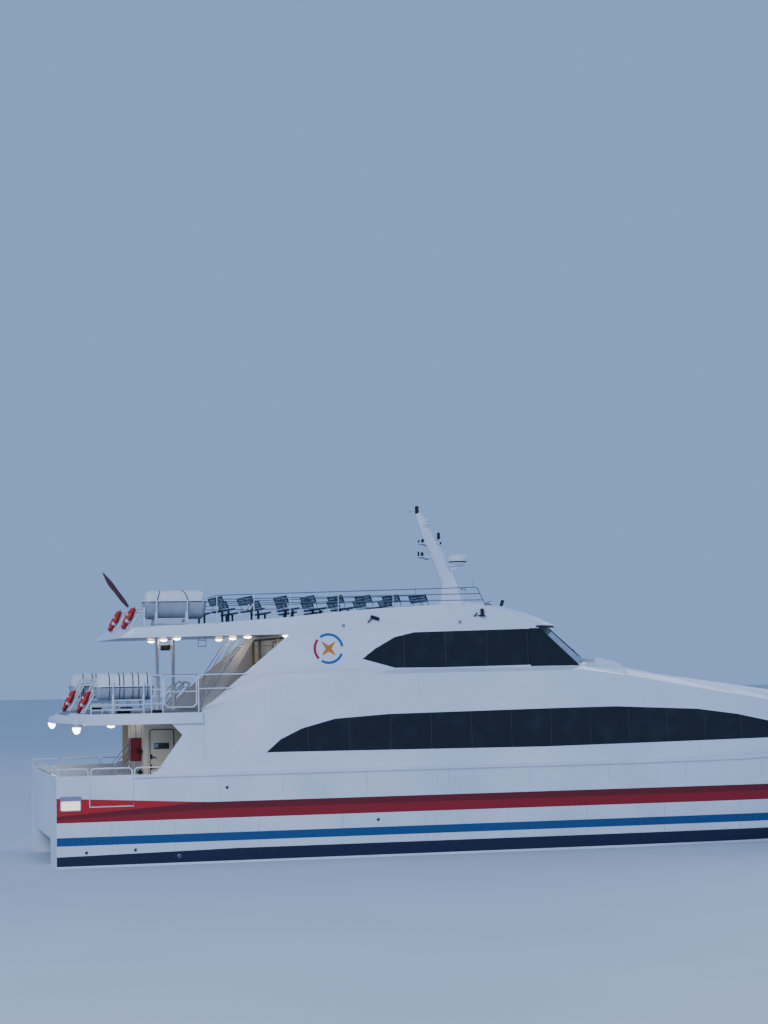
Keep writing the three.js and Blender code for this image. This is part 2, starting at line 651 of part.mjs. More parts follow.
const MAIN_DOOR = { fromY: 1700, toY: 2560, footZ: 1720, headZ: 3715 };
const HOUSE_DOOR = { fromY: -1250, toY: -390, footZ: 4240, headZ: 6170 };

function mainBulkhead() {
  return box(CABIN_AFT_X, CABIN_AFT_X + WALL, -4000, 4000, MAIN_DECK_Z + SEAT_GAP, CEILING_Z - SEAT_GAP)
    .intersect(cabinBody(WALL + SEAT_GAP))
    .subtract(box(CABIN_AFT_X - 100, CABIN_AFT_X + 200, MAIN_DOOR.fromY, MAIN_DOOR.toY,
      MAIN_DOOR.footZ, MAIN_DOOR.headZ));
}

function aftDoor(x, door) {
  const leaf = box(x, x + LEAF, door.fromY + SWING_GAP, door.toY - SWING_GAP, door.footZ + SWING_GAP,
    door.headZ - SWING_GAP);
  return leaf.add(barrels(x, door.toY - PIN_OFFSET, door.footZ + 250, door.headZ - 250, 3));
}

function houseBulkhead() {
  return box(DECKHOUSE_AFT_X, DECKHOUSE_AFT_X + WALL, -4000, 4000, UPPER_DECK_Z + SEAT_GAP, 6310)
    .intersect(houseBody(WALL + SEAT_GAP))
    .subtract(box(DECKHOUSE_AFT_X - 100, DECKHOUSE_AFT_X + 200, HOUSE_DOOR.fromY, HOUSE_DOOR.toY,
      HOUSE_DOOR.footZ, HOUSE_DOOR.headZ));
}

function fireCabinet() {
  return box(2250, CASING.aftX - SEAT_GAP, -2400, -1950, 2800, 3450);
}

// Upper house

function underRoof(x) {
  return interpolate(ROOF_STATIONS, x, 'underZ');
}

function houseBody(inset) {
  const knots = [4060, 6700, 11840, 14150, 16800];
  return loft('x', knots.map((x) => ({
    at: x,
    ring: bothSides([
      [HOUSE_FOOT_Y - inset, UPPER_DECK_Z + SEAT_GAP - (inset > 0 ? 10 : 0)],
      [HOUSE_SILL_Y - inset, HOUSE_SILL_Z],
      [HOUSE_TOP_Y - inset, underRoof(Math.min(x, 15400)) - SEAT_GAP + (inset > 0 ? 10 : 0)],
    ]),
  })));
}

function behindScreen(inset) {
  const reach = (station, z) => {
    const t = (z - SCREEN_SILL_Z) / (SCREEN_TOP_Z - SCREEN_SILL_Z);
    return THREE.MathUtils.lerp(station.sillX, station.topX, t) - inset;
  };
  const lowZ = 4000;
  const highZ = 7000;
  return loft('y', SCREEN_STATIONS.map((station) => ({
    at: station.y,
    ring: [[2000, lowZ], [reach(station, lowZ), lowZ], [reach(station, highZ), highZ], [2000, highZ]],
  })));
}

function houseShell(outerInset, innerInset) {
  const rakeFactor = 1.3;
  const outer = houseBody(outerInset).intersect(behindScreen(outerInset * rakeFactor));
  const inner = houseBody(innerInset).intersect(behindScreen(innerInset * rakeFactor));
  return outer.subtract(inner);
}

// Windscreen panes: y from and to
const SCREEN_PANES = [[-3160, -1960], [-1840, -640], [-520, 520], [640, 1840], [1960, 3160]];
const SCREEN_PANE_Z = { sill: 5440, head: 6330 };

function screenWindows(grow) {
  return union(SCREEN_PANES.map(([from, to]) => box(
    13600, 17500, from - grow, to + grow, SCREEN_PANE_Z.sill - grow, SCREEN_PANE_Z.head + grow,
  )));
}

// One sheet behind all panes of the windscreen
function screenGlass() {
  return box(14000, 17500, -3210, 3210, SCREEN_PANE_Z.sill - 50, SCREEN_PANE_Z.head + 30);
}

const SCREEN_SPLIT_X = 15150;
const WING_EDGE = [[4000, 4100], [4130, 4220], [6660, 6311], [6660, 7000], [4000, 7000]];

function houseParts() {
  const shell = houseShell(0, WALL);
  const splitRise = 1300;
  const frontCut = prism('y', [
    [SCREEN_SPLIT_X, 4000], [SCREEN_SPLIT_X, 5200], [SCREEN_SPLIT_X - splitRise, 6500],
    [SCREEN_SPLIT_X - splitRise, 7000], [18000, 7000], [18000, 4000],
  ], -5000, 5000);
  const backCut = prism('y', [
    [SCREEN_SPLIT_X - SEAT_GAP, 4000], [SCREEN_SPLIT_X - SEAT_GAP, 5200],
    [SCREEN_SPLIT_X - splitRise - SEAT_GAP, 6500], [SCREEN_SPLIT_X - splitRise - SEAT_GAP, 7000],
    [0, 7000], [0, 4000],
  ], -5000, 5000);
  const aft = shell.intersect(backCut);
  const front = shell.intersect(frontCut);
  const overForedeck = front.subtract(cabinBody(-SEAT_GAP));
  const openAft = box(0, 5000, -3300, 3300, 3000, 9000);
  const side = aft
    .subtract(openAft)
    .intersect(box(0, 30000, -5000, -200, 0, 9000))
    .subtract(prism('y', WING_EDGE, -5000, 0))
    .subtract(sideBand(UPPER_BAND, 0))
    .add(wingRail());
  return { side, front: overForedeck.subtract(screenWindows(0)) };
}

// Roof with the sundeck well and the hatch over the upper stair
const WELL = { fromX: 2700, toX: 11700, half: 3080 };
const ROOF_STAIR = { fromY: 350, toY: 1150, footX: 4750, headX: 6400, wellFromX: 5250, wellToX: 6500 };

function roof() {
  const body = loft('x', ROOF_STATIONS.map((station) => ({
    at: station.x,
    ring: bothSides([
      [station.half, station.underZ],
      [station.half - 20, THREE.MathUtils.lerp(station.underZ, station.edgeZ, 0.5)],
      [station.half - 60, THREE.MathUtils.lerp(station.underZ, station.edgeZ, 0.85)],
      [station.half - 130, station.edgeZ],
      [station.half * 0.55, THREE.MathUtils.lerp(station.edgeZ, station.crownZ, 0.7)],
      [0, station.crownZ],
    ]),
  })));
  return body
    .subtract(box(WELL.fromX, WELL.toX, -WELL.half, WELL.half, SUNDECK_Z, 9000))
    .subtract(box(
      ROOF_STAIR.wellFromX, ROOF_STAIR.wellToX, ROOF_STAIR.fromY - 60, ROOF_STAIR.toY + 60, 6000, 9000,
    ))
    .add(deckPad(11450, 2400, SUNDECK_Z));
}

// The roof lifted by the seat gap: what stands on the roof is cut to it
function aboveRoof() {
  return roof().translate([0, 0, SEAT_GAP]);
}

function roofPillars() {
  const low = UPPER_DECK_Z + SEAT_GAP;
  const high = (x) => underRoof(x - 50) - SEAT_GAP;
  return union([
    bar([3360, 0, low], [3360, 0, high(3360)], 50, 10),
    bar([3830, 0, low], [3830, 0, high(3830)], 50, 10),
    box(3340, 3850, -25, 25, 5990, 6110),
  ]);
}

// Mast: raked tapering fin, with its brackets for lamps and the radar
function mast() {
  const fin = [
    { at: 7100, aft: 12040, fore: 12800, half: 150 },
    { at: 7800, aft: 12110, fore: 12590, half: 120 },
    { at: 9170, aft: 11570, fore: 11960, half: 85 },
    { at: 10000, aft: 11300, fore: 11520, half: 60 },
  ];
  const body = loft('z', fin.map(({ at, aft, fore, half }) => ({
    at,
    ring: [[aft, -half * 0.5], [aft + 60, -half], [fore - 80, -half * 0.8], [fore, 0], [fore - 80, half * 0.8],
      [aft + 60, half], [aft, half * 0.5]],
  })));
  const plinth = box(11950, 12900, -260, 260, 7000, 7260);
  const parts = [
    body, plinth,
    box(12250, 12830, -110, 110, 8370, 8410),
    box(11560, 11760, -100, 100, 9570, 9600),
    box(11380, 11640, -45, 45, 9060, 9090),
    box(11370, 11900, -45, 45, 8650, 8680),
    bar([11360, 0, 9960], [11360, 0, 10190], 45, 10),
  ];
  return union(parts).subtract(aboveRoof());
}

function radome() {
  const profile = [[0, 0], [190, 0], [285, 60], [300, 130], [280, 230], [180, 300], [0, 315]];
  const geometry = new THREE.LatheGeometry(profile.map(([r, z]) => new THREE.Vector2(r, z)), 20);
  geometry.rotateX(Math.PI / 2);
  geometry.translate(12620, 0, 8410 + SEAT_GAP);
  return solidOf(geometry);
}

// Life raft canister lying fore and aft
function canister({ x, y, z, length, radius }) {
  const half = length / 2;
  const profile = [
    [0, -half], [radius * 0.62, -half + 20], [radius * 0.93, -half + 110], [radius, -half + 220],
    [radius, half - 220], [radius * 0.93, half - 110], [radius * 0.62, half - 20], [0, half],
  ];
  const geometry = new THREE.LatheGeometry(profile.map(([r, t]) => new THREE.Vector2(r, t)), 14);
  geometry.rotateZ(-Math.PI / 2);
  geometry.translate(x, y, z);
  return solidOf(geometry);
}

// Raft places: name, centre, canister length and radius, deck level, y of the frame outboard of it, x of the
// frame's posts, height of their tops, and its bars as aft end and height above the deck
const RAFTS = [
  {
    name: 'starboard', x: 2030, y: -3350, z: 4920, length: 1820, radius: 380, deckZ: UPPER_DECK_Z,
    frameY: -3800, posts: [1600, 2440], postTop: 880, bars: [[980, 110], [980, 245], [1600, 370]],
  },
  {
    name: 'port', x: 2030, y: 3350, z: 4920, length: 1820, radius: 380, deckZ: UPPER_DECK_Z,
    frameY: 3800, posts: [1600, 2440], postTop: 880, bars: [[980, 110], [980, 245], [1600, 370]],
  },
  {
    name: 'roof', x: 3515, y: -2400, z: 7200, length: 1790, radius: 410, deckZ: SUNDECK_Z,
    frameY: -3000, posts: [2940, 3810], postTop: 740, bars: [[2940, 230]],
  },
];

// Raft cradle: two saddles cut to the canister on low bearers, and the frame outboard of it
function cradle({ x, y, z, length, radius, deckZ, frameY, posts, postTop, bars }) {
  const parts = [];
  const low = deckZ + SEAT_GAP;
  const bearerZ = deckZ + 105;
  for (const saddleX of posts) {
    parts.push(box(saddleX - 25, saddleX + 25, y - radius * 0.9, y + radius * 0.9, low, z - radius * 0.45));
    parts.push(bar([saddleX, frameY, low], [saddleX, frameY, deckZ + postTop]));
    parts.push(bar([saddleX, frameY, bearerZ], [saddleX, y, bearerZ]));
  }
  for (const dy of [-radius * 0.6, radius * 0.6]) {
    parts.push(box(posts[0] - 60, posts[1] + 60, y + dy - 25, y + dy + 25, deckZ + 80, deckZ + 130));
  }
  for (const [fromX, rise] of bars) {
    parts.push(bar([fromX, frameY, deckZ + rise], [posts[1], frameY, deckZ + rise]));
  }
  const endX = Math.min(...bars.map(([fromX]) => fromX));
  const endTop = Math.max(...bars.filter(([fromX]) => fromX === endX).map(([, rise]) => rise));
  parts.push(bar([endX, frameY, low], [endX, frameY, deckZ + endTop]));
  const room = canister({ x, y, z, length: length * 2, radius: radius + SEAT_GAP });
  return union(parts).subtract(room);
}

// Raked lifebuoy racks across the stern: name, foot x, deck level, run up the rake, half spacing of the
// buoys, their reach up the rake, and the pipes' y on each side
const RACKS = {
  deck: {
    footX: 870, deckZ: UPPER_DECK_Z, run: 1070, spacing: 2000, reach: 345,
    pipes: [1050, 1750, 2250, 2880], barEnd: 2880,
  },
  roof: {
    footX: 2233, deckZ: SUNDECK_Z, run: 630, spacing: 1600, reach: 310,
    pipes: [700, 1350, 1850, 2600], barEnd: 3300,
  },
};
const RACK_RAKE = THREE.MathUtils.degToRad(29.5);
const RACK_BAR_STEP = 85;
const BUOY = { ring: 295, tube: 72, inset: 9.8 };

function alongRack({ footX, deckZ }, reach) {
  return [footX + Math.sin(RACK_RAKE) * reach, deckZ + Math.cos(RACK_RAKE) * reach];
}

function rack(spot) {
  const { deckZ, run, pipes, barEnd } = spot;
  const foot = deckZ + SEAT_GAP;
  const parts = [run, run - RACK_BAR_STEP].map((reach) => {
    const [x, z] = alongRack(spot, reach);
    return bar([x, -barEnd, z], [x, barEnd, z]);
  });
  const [topX, topZ] = alongRack(spot, run);
  const [tieX, tieZ] = alongRack(spot, run * 0.645);
  const endY = pipes.at(-1);
  for (const side of [-1, 1]) {
    for (const y of pipes) parts.push(bar([spot.footX, side * y, foot], [topX + 5, side * y, topZ + 8]));
    parts.push(pipe([[tieX, side * endY, tieZ], [topX, side * endY, tieZ], [topX, side * endY, foot]]));
  }
  const below = box(0, topX + 300, -barEnd - 100, barEnd + 100, deckZ - 400, foot);
  return union(parts).subtract(below).subtract(aboveRoof());
}

function buoy(spot, side) {
  const geometry = new THREE.TorusGeometry(BUOY.ring, BUOY.tube, 6, 14);
  geometry.rotateY(-Math.PI / 2 + RACK_RAKE);
  const off = BUOY.tube + PIPE_R - BUOY.inset;
  const [x, z] = alongRack(spot, spot.reach);
  geometry.translate(x - Math.cos(RACK_RAKE) * off, side * spot.spacing, z + Math.sin(RACK_RAKE) * off);
  return solidOf(geometry);
}

// Rails

// A straight rail in a vertical plane: posts and level bars
function railing(from, to, postHeights, posts, bars) {
  const at = (t, z) => [
    THREE.MathUtils.lerp(from[0], to[0], t),
    THREE.MathUtils.lerp(from[1], to[1], t),
    THREE.MathUtils.lerp(from[2], to[2], t) + z,
  ];
  const parts = [];
  for (let k = 0; k < posts; k += 1) {
    const t = k / (posts - 1);
    parts.push(bar(at(t, SEAT_GAP), at(t, postHeights)));
  }
  for (const height of bars) parts.push(bar(at(0, height), at(1, height), PIPE_R * 0.9));
  return union(parts);
}

const RAIL = { y: 3860, aftX: 2640, gateAftX: 2960, gateForeX: 3960, height: 1040 };
const RAIL_BARS = [260, 650, 1040];

// Short rail between a deck raft's frame and the rail gate, tied to the frame by its low bar
function sideRail({ frameY, posts }) {
  const side = Math.sign(frameY);
  const foot = (x) => [x, side * RAIL.y, UPPER_DECK_Z];
  const tieZ = UPPER_DECK_Z + RAIL_BARS[0];
  const tie = bar([posts[1], frameY, tieZ], [RAIL.aftX, side * RAIL.y, tieZ]);
  return railing(foot(RAIL.aftX), foot(RAIL.gateAftX), RAIL.height, 2, RAIL_BARS).add(tie);
}

// Bow rail: along both outer bulwarks to the stems, and across the front of the bow deck
const BOW_RAIL = { knots: [22750, 23650, 24430, 25250, 26180], bars: [425, 850], frontX: 25300, innerY: 2150 };

function bowRail() {
  const top = BOW_RAIL.bars.at(-1);
  const stemX = BOW_RAIL.knots.at(-1);
  const sheer = (x) => interpolate(HULL_STATIONS, x, 'topZ');
  const onBulwark = (x, side, height) => [x, side * (outerSide(x) - HULL_PLATE / 2), sheer(x) + height];
  const parts = [];
  for (const side of [-1, 1]) {
    for (const x of BOW_RAIL.knots) parts.push(bar(onBulwark(x, side, -20), onBulwark(x, side, top)));
    for (const height of BOW_RAIL.bars) {
      parts.push(pipe([
        ...BOW_RAIL.knots.map((x) => onBulwark(x, side, height)),
        [stemX, side * (HULL_CENTRE_Y - 60), sheer(stemX) + height],
        [BOW_RAIL.frontX, side * BOW_RAIL.innerY, sheer(stemX) + height],
      ]));
    }
  }
  for (const height of BOW_RAIL.bars) {
    const z = sheer(stemX) + height;
    parts.push(bar([BOW_RAIL.frontX, -BOW_RAIL.innerY, z], [BOW_RAIL.frontX, BOW_RAIL.innerY, z]));
  }
  for (const y of [-BOW_RAIL.innerY, -700, 700, BOW_RAIL.innerY]) {
    const foot = BOW_DECK_Z + SEAT_GAP;
    parts.push(bar([BOW_RAIL.frontX, y, foot], [BOW_RAIL.frontX, y, sheer(stemX) + top]));
  }
  const lifted = hullBody(-HULL_CENTRE_Y).translate([0, 0, SEAT_GAP]);
  return union(parts).subtract(lifted).subtract(mirrored(lifted));
}

// Post ahead of the rail gate, with bars that run inboard to the raked edge of the house side
function wingRail() {
  const post = bar([RAIL.gateForeX, -RAIL.y, UPPER_DECK_Z + SEAT_GAP],
    [RAIL.gateForeX, -RAIL.y, UPPER_DECK_Z + RAIL.height]);
  const bars = RAIL_BARS.slice(1).map((height) => {
    const wingX = 4180 + height * 1.21;
    const z = UPPER_DECK_Z + height;
    return bar([RAIL.gateForeX, -RAIL.y, z], [wingX, -HOUSE_FOOT_Y + 10, z], PIPE_R * 0.9);
  });
  const lugs = [300, 760].map((height) => box(
    RAIL.gateForeX - STILE.fromPost + PIPE_R + SEAT_GAP, RAIL.gateForeX, -RAIL.y - 12, -RAIL.y + 12,
    UPPER_DECK_Z + height, UPPER_DECK_Z + height + 30,
  ));
  return union([post, ...bars, ...lugs]);
}

// The gate's hinge stile stands this far from its post, and lugs on the post reach to it
const STILE = { fromPost: 60, sides: 16 };

function railGate() {
  const y = -RAIL.y;
  const fromX = RAIL.gateAftX + PIPE_R + SWING_GAP + PIPE_R;
  const toX = RAIL.gateForeX - STILE.fromPost;
  const low = UPPER_DECK_Z + 150;
  const high = UPPER_DECK_Z + RAIL.height - 30;
  const corner = 90;
  const frame = pipe([
    [fromX, y, low + corner], [fromX, y, high - corner], [fromX + corner, y, high], [toX - corner, y, high],
    [toX, y, high - corner], [toX, y, low + corner], [toX - corner, y, low], [fromX + corner, y, low],
    [fromX, y, low + corner],
  ]);
  const middle = (low + high) / 2;
  const stile = bar([toX, y, low + corner - 10], [toX, y, high - corner + 10], PIPE_R, STILE.sides);
  return union([frame, stile, bar([fromX, y, middle], [toX, y, middle], PIPE_R * 0.9)]);
}

// Sundeck rail on the coamings of both sides, tied across by the raked lifebuoy rack at its aft end
const SUNDECK_RAIL = {
  y: 3300, knots: [2200, 2543, 4480, 6700, 8110, 9730, 11840, 12600], drops: [0, 170, 340],
};

function sundeckRail() {
  const { y, knots, drops } = SUNDECK_RAIL;
  const top = (x) => THREE.MathUtils.mapLinear(x, 4100, 12600, 7380, 7600);
  const seat = (x) => interpolate(ROOF_STATIONS, x, 'edgeZ') - 40;
  const parts = [rack(RACKS.roof)];
  for (const side of [-1, 1]) {
    for (const x of knots) parts.push(bar([x, side * y, seat(x)], [x, side * y, top(x)], 16));
    for (const drop of drops) {
      const clear = knots.filter((x) => top(x) - drop > seat(x) + 75);
      parts.push(pipe(clear.map((x) => [x, side * y, top(x) - drop]), 11, 6));
    }
  }
  return union(parts).subtract(aboveRoof());
}

// Seat rows on the sundeck, a bench on each side of the middle way: x of each row's back, then one
// bench's section, its inner and outer y, and its pedestals
const SEAT_ROWS = [4790, 5650, 6660, 7470, 8290, 9120, 9960, 10780];
const BENCH = {
  innerY: 1350, outerY: 2900, panZ: 490, panFromX: 90, panToX: 420, slab: 32,
  backLowZ: 640, backHighZ: 850, lean: 55,
};
const PEDESTALS = { y: [1600, 2650], x: 250, half: 25, runnerHalf: 40, runner: 12 };

function sundeckSeats() {
  const floor = SUNDECK_Z + SEAT_GAP;
  const firstX = SEAT_ROWS[0] - 60;
  const lastX = SEAT_ROWS.at(-1) + 480;
  const { x: postX, half, runnerHalf, runner } = PEDESTALS;
  const parts = [];
  for (const x of [firstX, lastX - 2 * runnerHalf]) {
    parts.push(box(x, x + 2 * runnerHalf, -PEDESTALS.y[1], PEDESTALS.y[1], floor, floor + runner));
  }
  for (const side of [-1, 1]) {
    const [fromY, toY] = [side * BENCH.innerY, side * BENCH.outerY].sort((a, b) => a - b);
    for (const y of PEDESTALS.y) {
      parts.push(box(firstX, lastX, side * y - runnerHalf, side * y + runnerHalf, floor, floor + runner));
    }
    for (const backX of SEAT_ROWS) {
      parts.push(box(backX + BENCH.panFromX, backX + BENCH.panToX, fromY, toY,
        floor + BENCH.panZ - BENCH.slab, floor + BENCH.panZ));
      parts.push(prism('y', [
        [backX + BENCH.lean, floor + BENCH.backLowZ], [backX + BENCH.lean + 28, floor + BENCH.backLowZ],
        [backX + 28, floor + BENCH.backHighZ], [backX, floor + BENCH.backHighZ],
      ], fromY, toY));
      for (const y of PEDESTALS.y) {
        const at = side * y;
        parts.push(box(backX + postX - half, backX + postX + half, at - half, at + half,
          floor + runner / 2, floor + BENCH.panZ - BENCH.slab / 2));
        parts.push(prism('y', [
          [backX + 110, floor + BENCH.panZ - 50], [backX + 140, floor + BENCH.panZ - 20],
          [backX + BENCH.lean + 30, floor + BENCH.backLowZ + 30],
          [backX + BENCH.lean + 5, floor + BENCH.backLowZ + 30],
        ], at - 15, at + 15));
      }
    }
  }
  return union(parts);
}

// Raked flagstaff with its furled flag: foot, top, and the bundle's ends as shares of the staff
const FLAG = { foot: [3020, 0, 6540], top: [1780, 0, 8235], radius: 17, from: 0.4, to: 0.965, bundle: 48 };

function flagstaff() {
  const [foot, top] = [FLAG.foot, FLAG.top].map((point) => new THREE.Vector3(...point));
  const at = (share) => foot.clone().lerp(top, share).toArray();
  const middle = (FLAG.from + FLAG.to) / 2;
  return union([
    bar(FLAG.foot, FLAG.top, FLAG.radius, 8),
    bar(at(FLAG.from), at(FLAG.to), FLAG.bundle * 0.6, 8),
    bar(at(middle - 0.12), at(middle + 0.16), FLAG.bundle, 8),
  ]).subtract(aboveRoof());
}

// Finishes: colour, roughness, metalness
const FINISHES = {
  white: [0xe4e8ee, 0.35, 0.05],
  cream: [0xd8cfb4, 0.5, 0.0],
  glass: [0x14181c, 0.15, 0.1],
  red: [0x9c1b22, 0.45, 0.0],
  orange: [0xc4352b, 0.5, 0.0],
  bronze: [0xa07a3c, 0.35, 0.9],
  steel: [0x8d9399, 0.4, 0.8],
  seat: [0x3a4448, 0.7, 0.0],
  grey: [0x9aa0a6, 0.6, 0.1],
};

const model = new THREE.Group();

function place(name, solid, finish) {
  const [color, roughness, metalness] = FINISHES[finish];
  const material = new THREE.MeshStandardMaterial({ color, roughness, metalness });
  const mesh = new THREE.Mesh(geometryOf(solid), material);
  mesh.name = name;
  model.add(mesh);
}

function placePair(name, starboard, finish) {
  place(`${name}_starboard`, starboard, finish);
  place(`${name}_port`, mirrored(starboard), finish);
}

const cabin = cabinParts();
const house = houseParts();
const cabinGlass = cabinShell(12, 24);
const houseGlass = houseShell(12, 24);

placePair('demihull', demihull(), 'white');
place('bridge_deck', bridgeDeck(), 'white');
placePair('engine', engine(), 'steel');
placePair('engine_hatch', hatchLid(), 'grey');
placePair('bulwark_gate', bulwarkGate(), 'white');
place('stern_rail', sternRail(), 'white');
place('propeller_starboard', propeller(-HULL_CENTRE_Y, 1), 'bronze');
place('propeller_port', propeller(HULL_CENTRE_Y, -1), 'bronze');
placePair('rudder', rudder(-HULL_CENTRE_Y), 'steel');
placePair('cabin_side', cabin.side, 'white');
place('cabin_nose', cabin.nose, 'white');
place('foredeck', cabin.foredeck, 'white');
placePair('cabin_glazing', cabinGlass.intersect(sideBand(LOWER_BAND, -SEAT_GAP)), 'glass');
place('nose_glazing', cabinShell(WALL + SEAT_GAP, WALL + 12).intersect(noseGlass()), 'glass');
place('upper_deck', upperDeck(), 'white');
const mainStair = stairway(STAIR.footX, STAIR.headX, MAIN_DECK_Z, UPPER_DECK_Z, STAIR.fromY, STAIR.toY, 9);
place('main_stair', mainStair, 'white');
place('aft_casing', casing(), 'cream');
place('stair_screen', stairScreen(), 'cream');
place('casing_door', casingDoor(), 'cream');
place('fire_cabinet', fireCabinet(), 'red');
place('main_bulkhead', mainBulkhead(), 'cream');
place('main_door', aftDoor(CABIN_AFT_X, MAIN_DOOR), 'cream');
placePair('house_side', house.side, 'white');
place('house_front', house.front, 'white');
placePair('house_glazing', houseGlass.intersect(sideBand(UPPER_BAND, -SEAT_GAP)), 'glass');
const screenShell = houseShell(WALL + SEAT_GAP, WALL + 14).subtract(cabinBody(-SEAT_GAP));
place('windscreen', screenShell.intersect(screenGlass()), 'glass');
place('house_bulkhead', houseBulkhead(), 'cream');
place('house_door', aftDoor(DECKHOUSE_AFT_X, HOUSE_DOOR), 'cream');
place('roof', roof(), 'white');
place('roof_pillars', roofPillars(), 'white');
place('sundeck_stair', stairway(ROOF_STAIR.footX, ROOF_STAIR.headX, UPPER_DECK_Z, SUNDECK_Z, ROOF_STAIR.fromY,
  ROOF_STAIR.toY, 8), 'white');
place('mast', mast(), 'white');
place('radome', radome(), 'white');
for (const raft of RAFTS) {
  const frame = raft.deckZ === UPPER_DECK_Z ? cradle(raft).add(sideRail(raft)) : cradle(raft);
  place(`raft_${raft.name}`, canister(raft), 'white');
  place(`raft_cradle_${raft.name}`, frame, 'white');
}
place('buoy_rack_deck', rack(RACKS.deck), 'white');
for (const [name, spot] of Object.entries(RACKS)) {
  place(`lifebuoy_${name}_starboard`, buoy(spot, -1), 'orange');
  place(`lifebuoy_${name}_port`, buoy(spot, 1), 'orange');
}
place('bow_rail', bowRail(), 'white');
placePair('rail_gate', railGate(), 'white');
place('sundeck_rail', sundeckRail(), 'white');
place('sundeck_seats', sundeckSeats(), 'seat');
place('flagstaff', flagstaff(), 'white');

export default model;
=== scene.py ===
"""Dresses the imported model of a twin-hull passenger ferry: finishes, fittings, lamps, floor, light and camera.

Metres, in the frame of the CAD model: x runs forward from the transom, y to port, z up from the waterline.
"""

import json
import logging
from collections.abc import Iterable, Sequence
from dataclasses import dataclass
from enum import Enum
from functools import cache, reduce
from math import atan, copysign, cos, pi, radians, sin, sqrt

import bmesh
import bpy
from mathutils import Matrix, Vector
from mathutils.bvhtree import BVHTree


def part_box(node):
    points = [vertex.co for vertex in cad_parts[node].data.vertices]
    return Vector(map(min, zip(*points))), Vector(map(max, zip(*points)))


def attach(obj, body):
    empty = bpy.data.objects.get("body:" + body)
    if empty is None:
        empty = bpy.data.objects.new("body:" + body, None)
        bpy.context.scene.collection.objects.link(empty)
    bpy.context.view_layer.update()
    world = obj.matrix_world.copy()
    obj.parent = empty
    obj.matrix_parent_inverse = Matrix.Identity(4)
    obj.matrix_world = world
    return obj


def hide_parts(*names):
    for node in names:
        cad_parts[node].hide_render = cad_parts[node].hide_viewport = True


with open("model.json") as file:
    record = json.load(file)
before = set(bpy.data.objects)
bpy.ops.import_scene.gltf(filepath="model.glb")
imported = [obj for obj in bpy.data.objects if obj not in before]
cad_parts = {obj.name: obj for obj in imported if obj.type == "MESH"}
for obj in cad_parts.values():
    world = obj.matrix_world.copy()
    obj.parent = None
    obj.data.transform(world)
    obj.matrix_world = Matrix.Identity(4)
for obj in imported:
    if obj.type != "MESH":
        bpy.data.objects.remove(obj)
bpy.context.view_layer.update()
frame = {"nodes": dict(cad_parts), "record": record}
NODES = frame["nodes"]
LOG = logging.getLogger("ferry")

ROOT = "root"
RACK_RAKE = radians(29.5)
HULL_FACE = 4.0
AHEAD, ACROSS, UP = (Vector(axis) for axis in ((1, 0, 0), (0, 1, 0), (0, 0, 1)))
CORNERS = ((1, 1), (-1, 1), (-1, -1), (1, -1))
Point = Sequence[float]
Row = tuple[float, ...]
Two = tuple[float, float]
Three = tuple[float, float, float]
Four = tuple[float, float, float, float]
Socket = bpy.types.NodeSocket
Node = bpy.types.Node
Material = bpy.types.Material


class Side(Enum):
    """The two sides of the ferry, as the sign of y."""

    STARBOARD = -1
    PORT = 1

    @property
    def word(self) -> str:
        """The side's name as the nodes spell it."""
        return self.name.lower()


# Node helpers


def linear(colour: str) -> Four:
    """Turns an sRGB hex colour to linear values.

    Args:
        colour: The colour as #RRGGBB.

    Returns:
        Red, green, blue and alpha for a shader socket.
    """
    parts = [int(colour[k : k + 2], 16) / 255 for k in (1, 3, 5)]
    red, green, blue = (p / 12.92 if p <= 0.04045 else ((p + 0.055) / 1.055) ** 2.4 for p in parts)
    return red, green, blue, 1.0


def add_node(tree: bpy.types.NodeTree, kind: str, settings: dict | None = None, links: dict | None = None) -> Node:
    """Adds a node with its settings and links.

    Args:
        tree: The node tree that gets the node.
        kind: The node's type without the ShaderNode prefix.
        settings: Attributes by name, and unlinked inputs by number or by an upper-case name.
        links: Output sockets by the input they feed.

    Returns:
        The new node.
    """
    node = tree.nodes.new("ShaderNode" + kind)
    for key, value in (settings or {}).items():
        if isinstance(key, int) or key in node.inputs:
            node.inputs[key].default_value = value
        else:
            setattr(node, key, value)
    for key, source in (links or {}).items():
        tree.links.new(source, node.inputs[key])
    return node


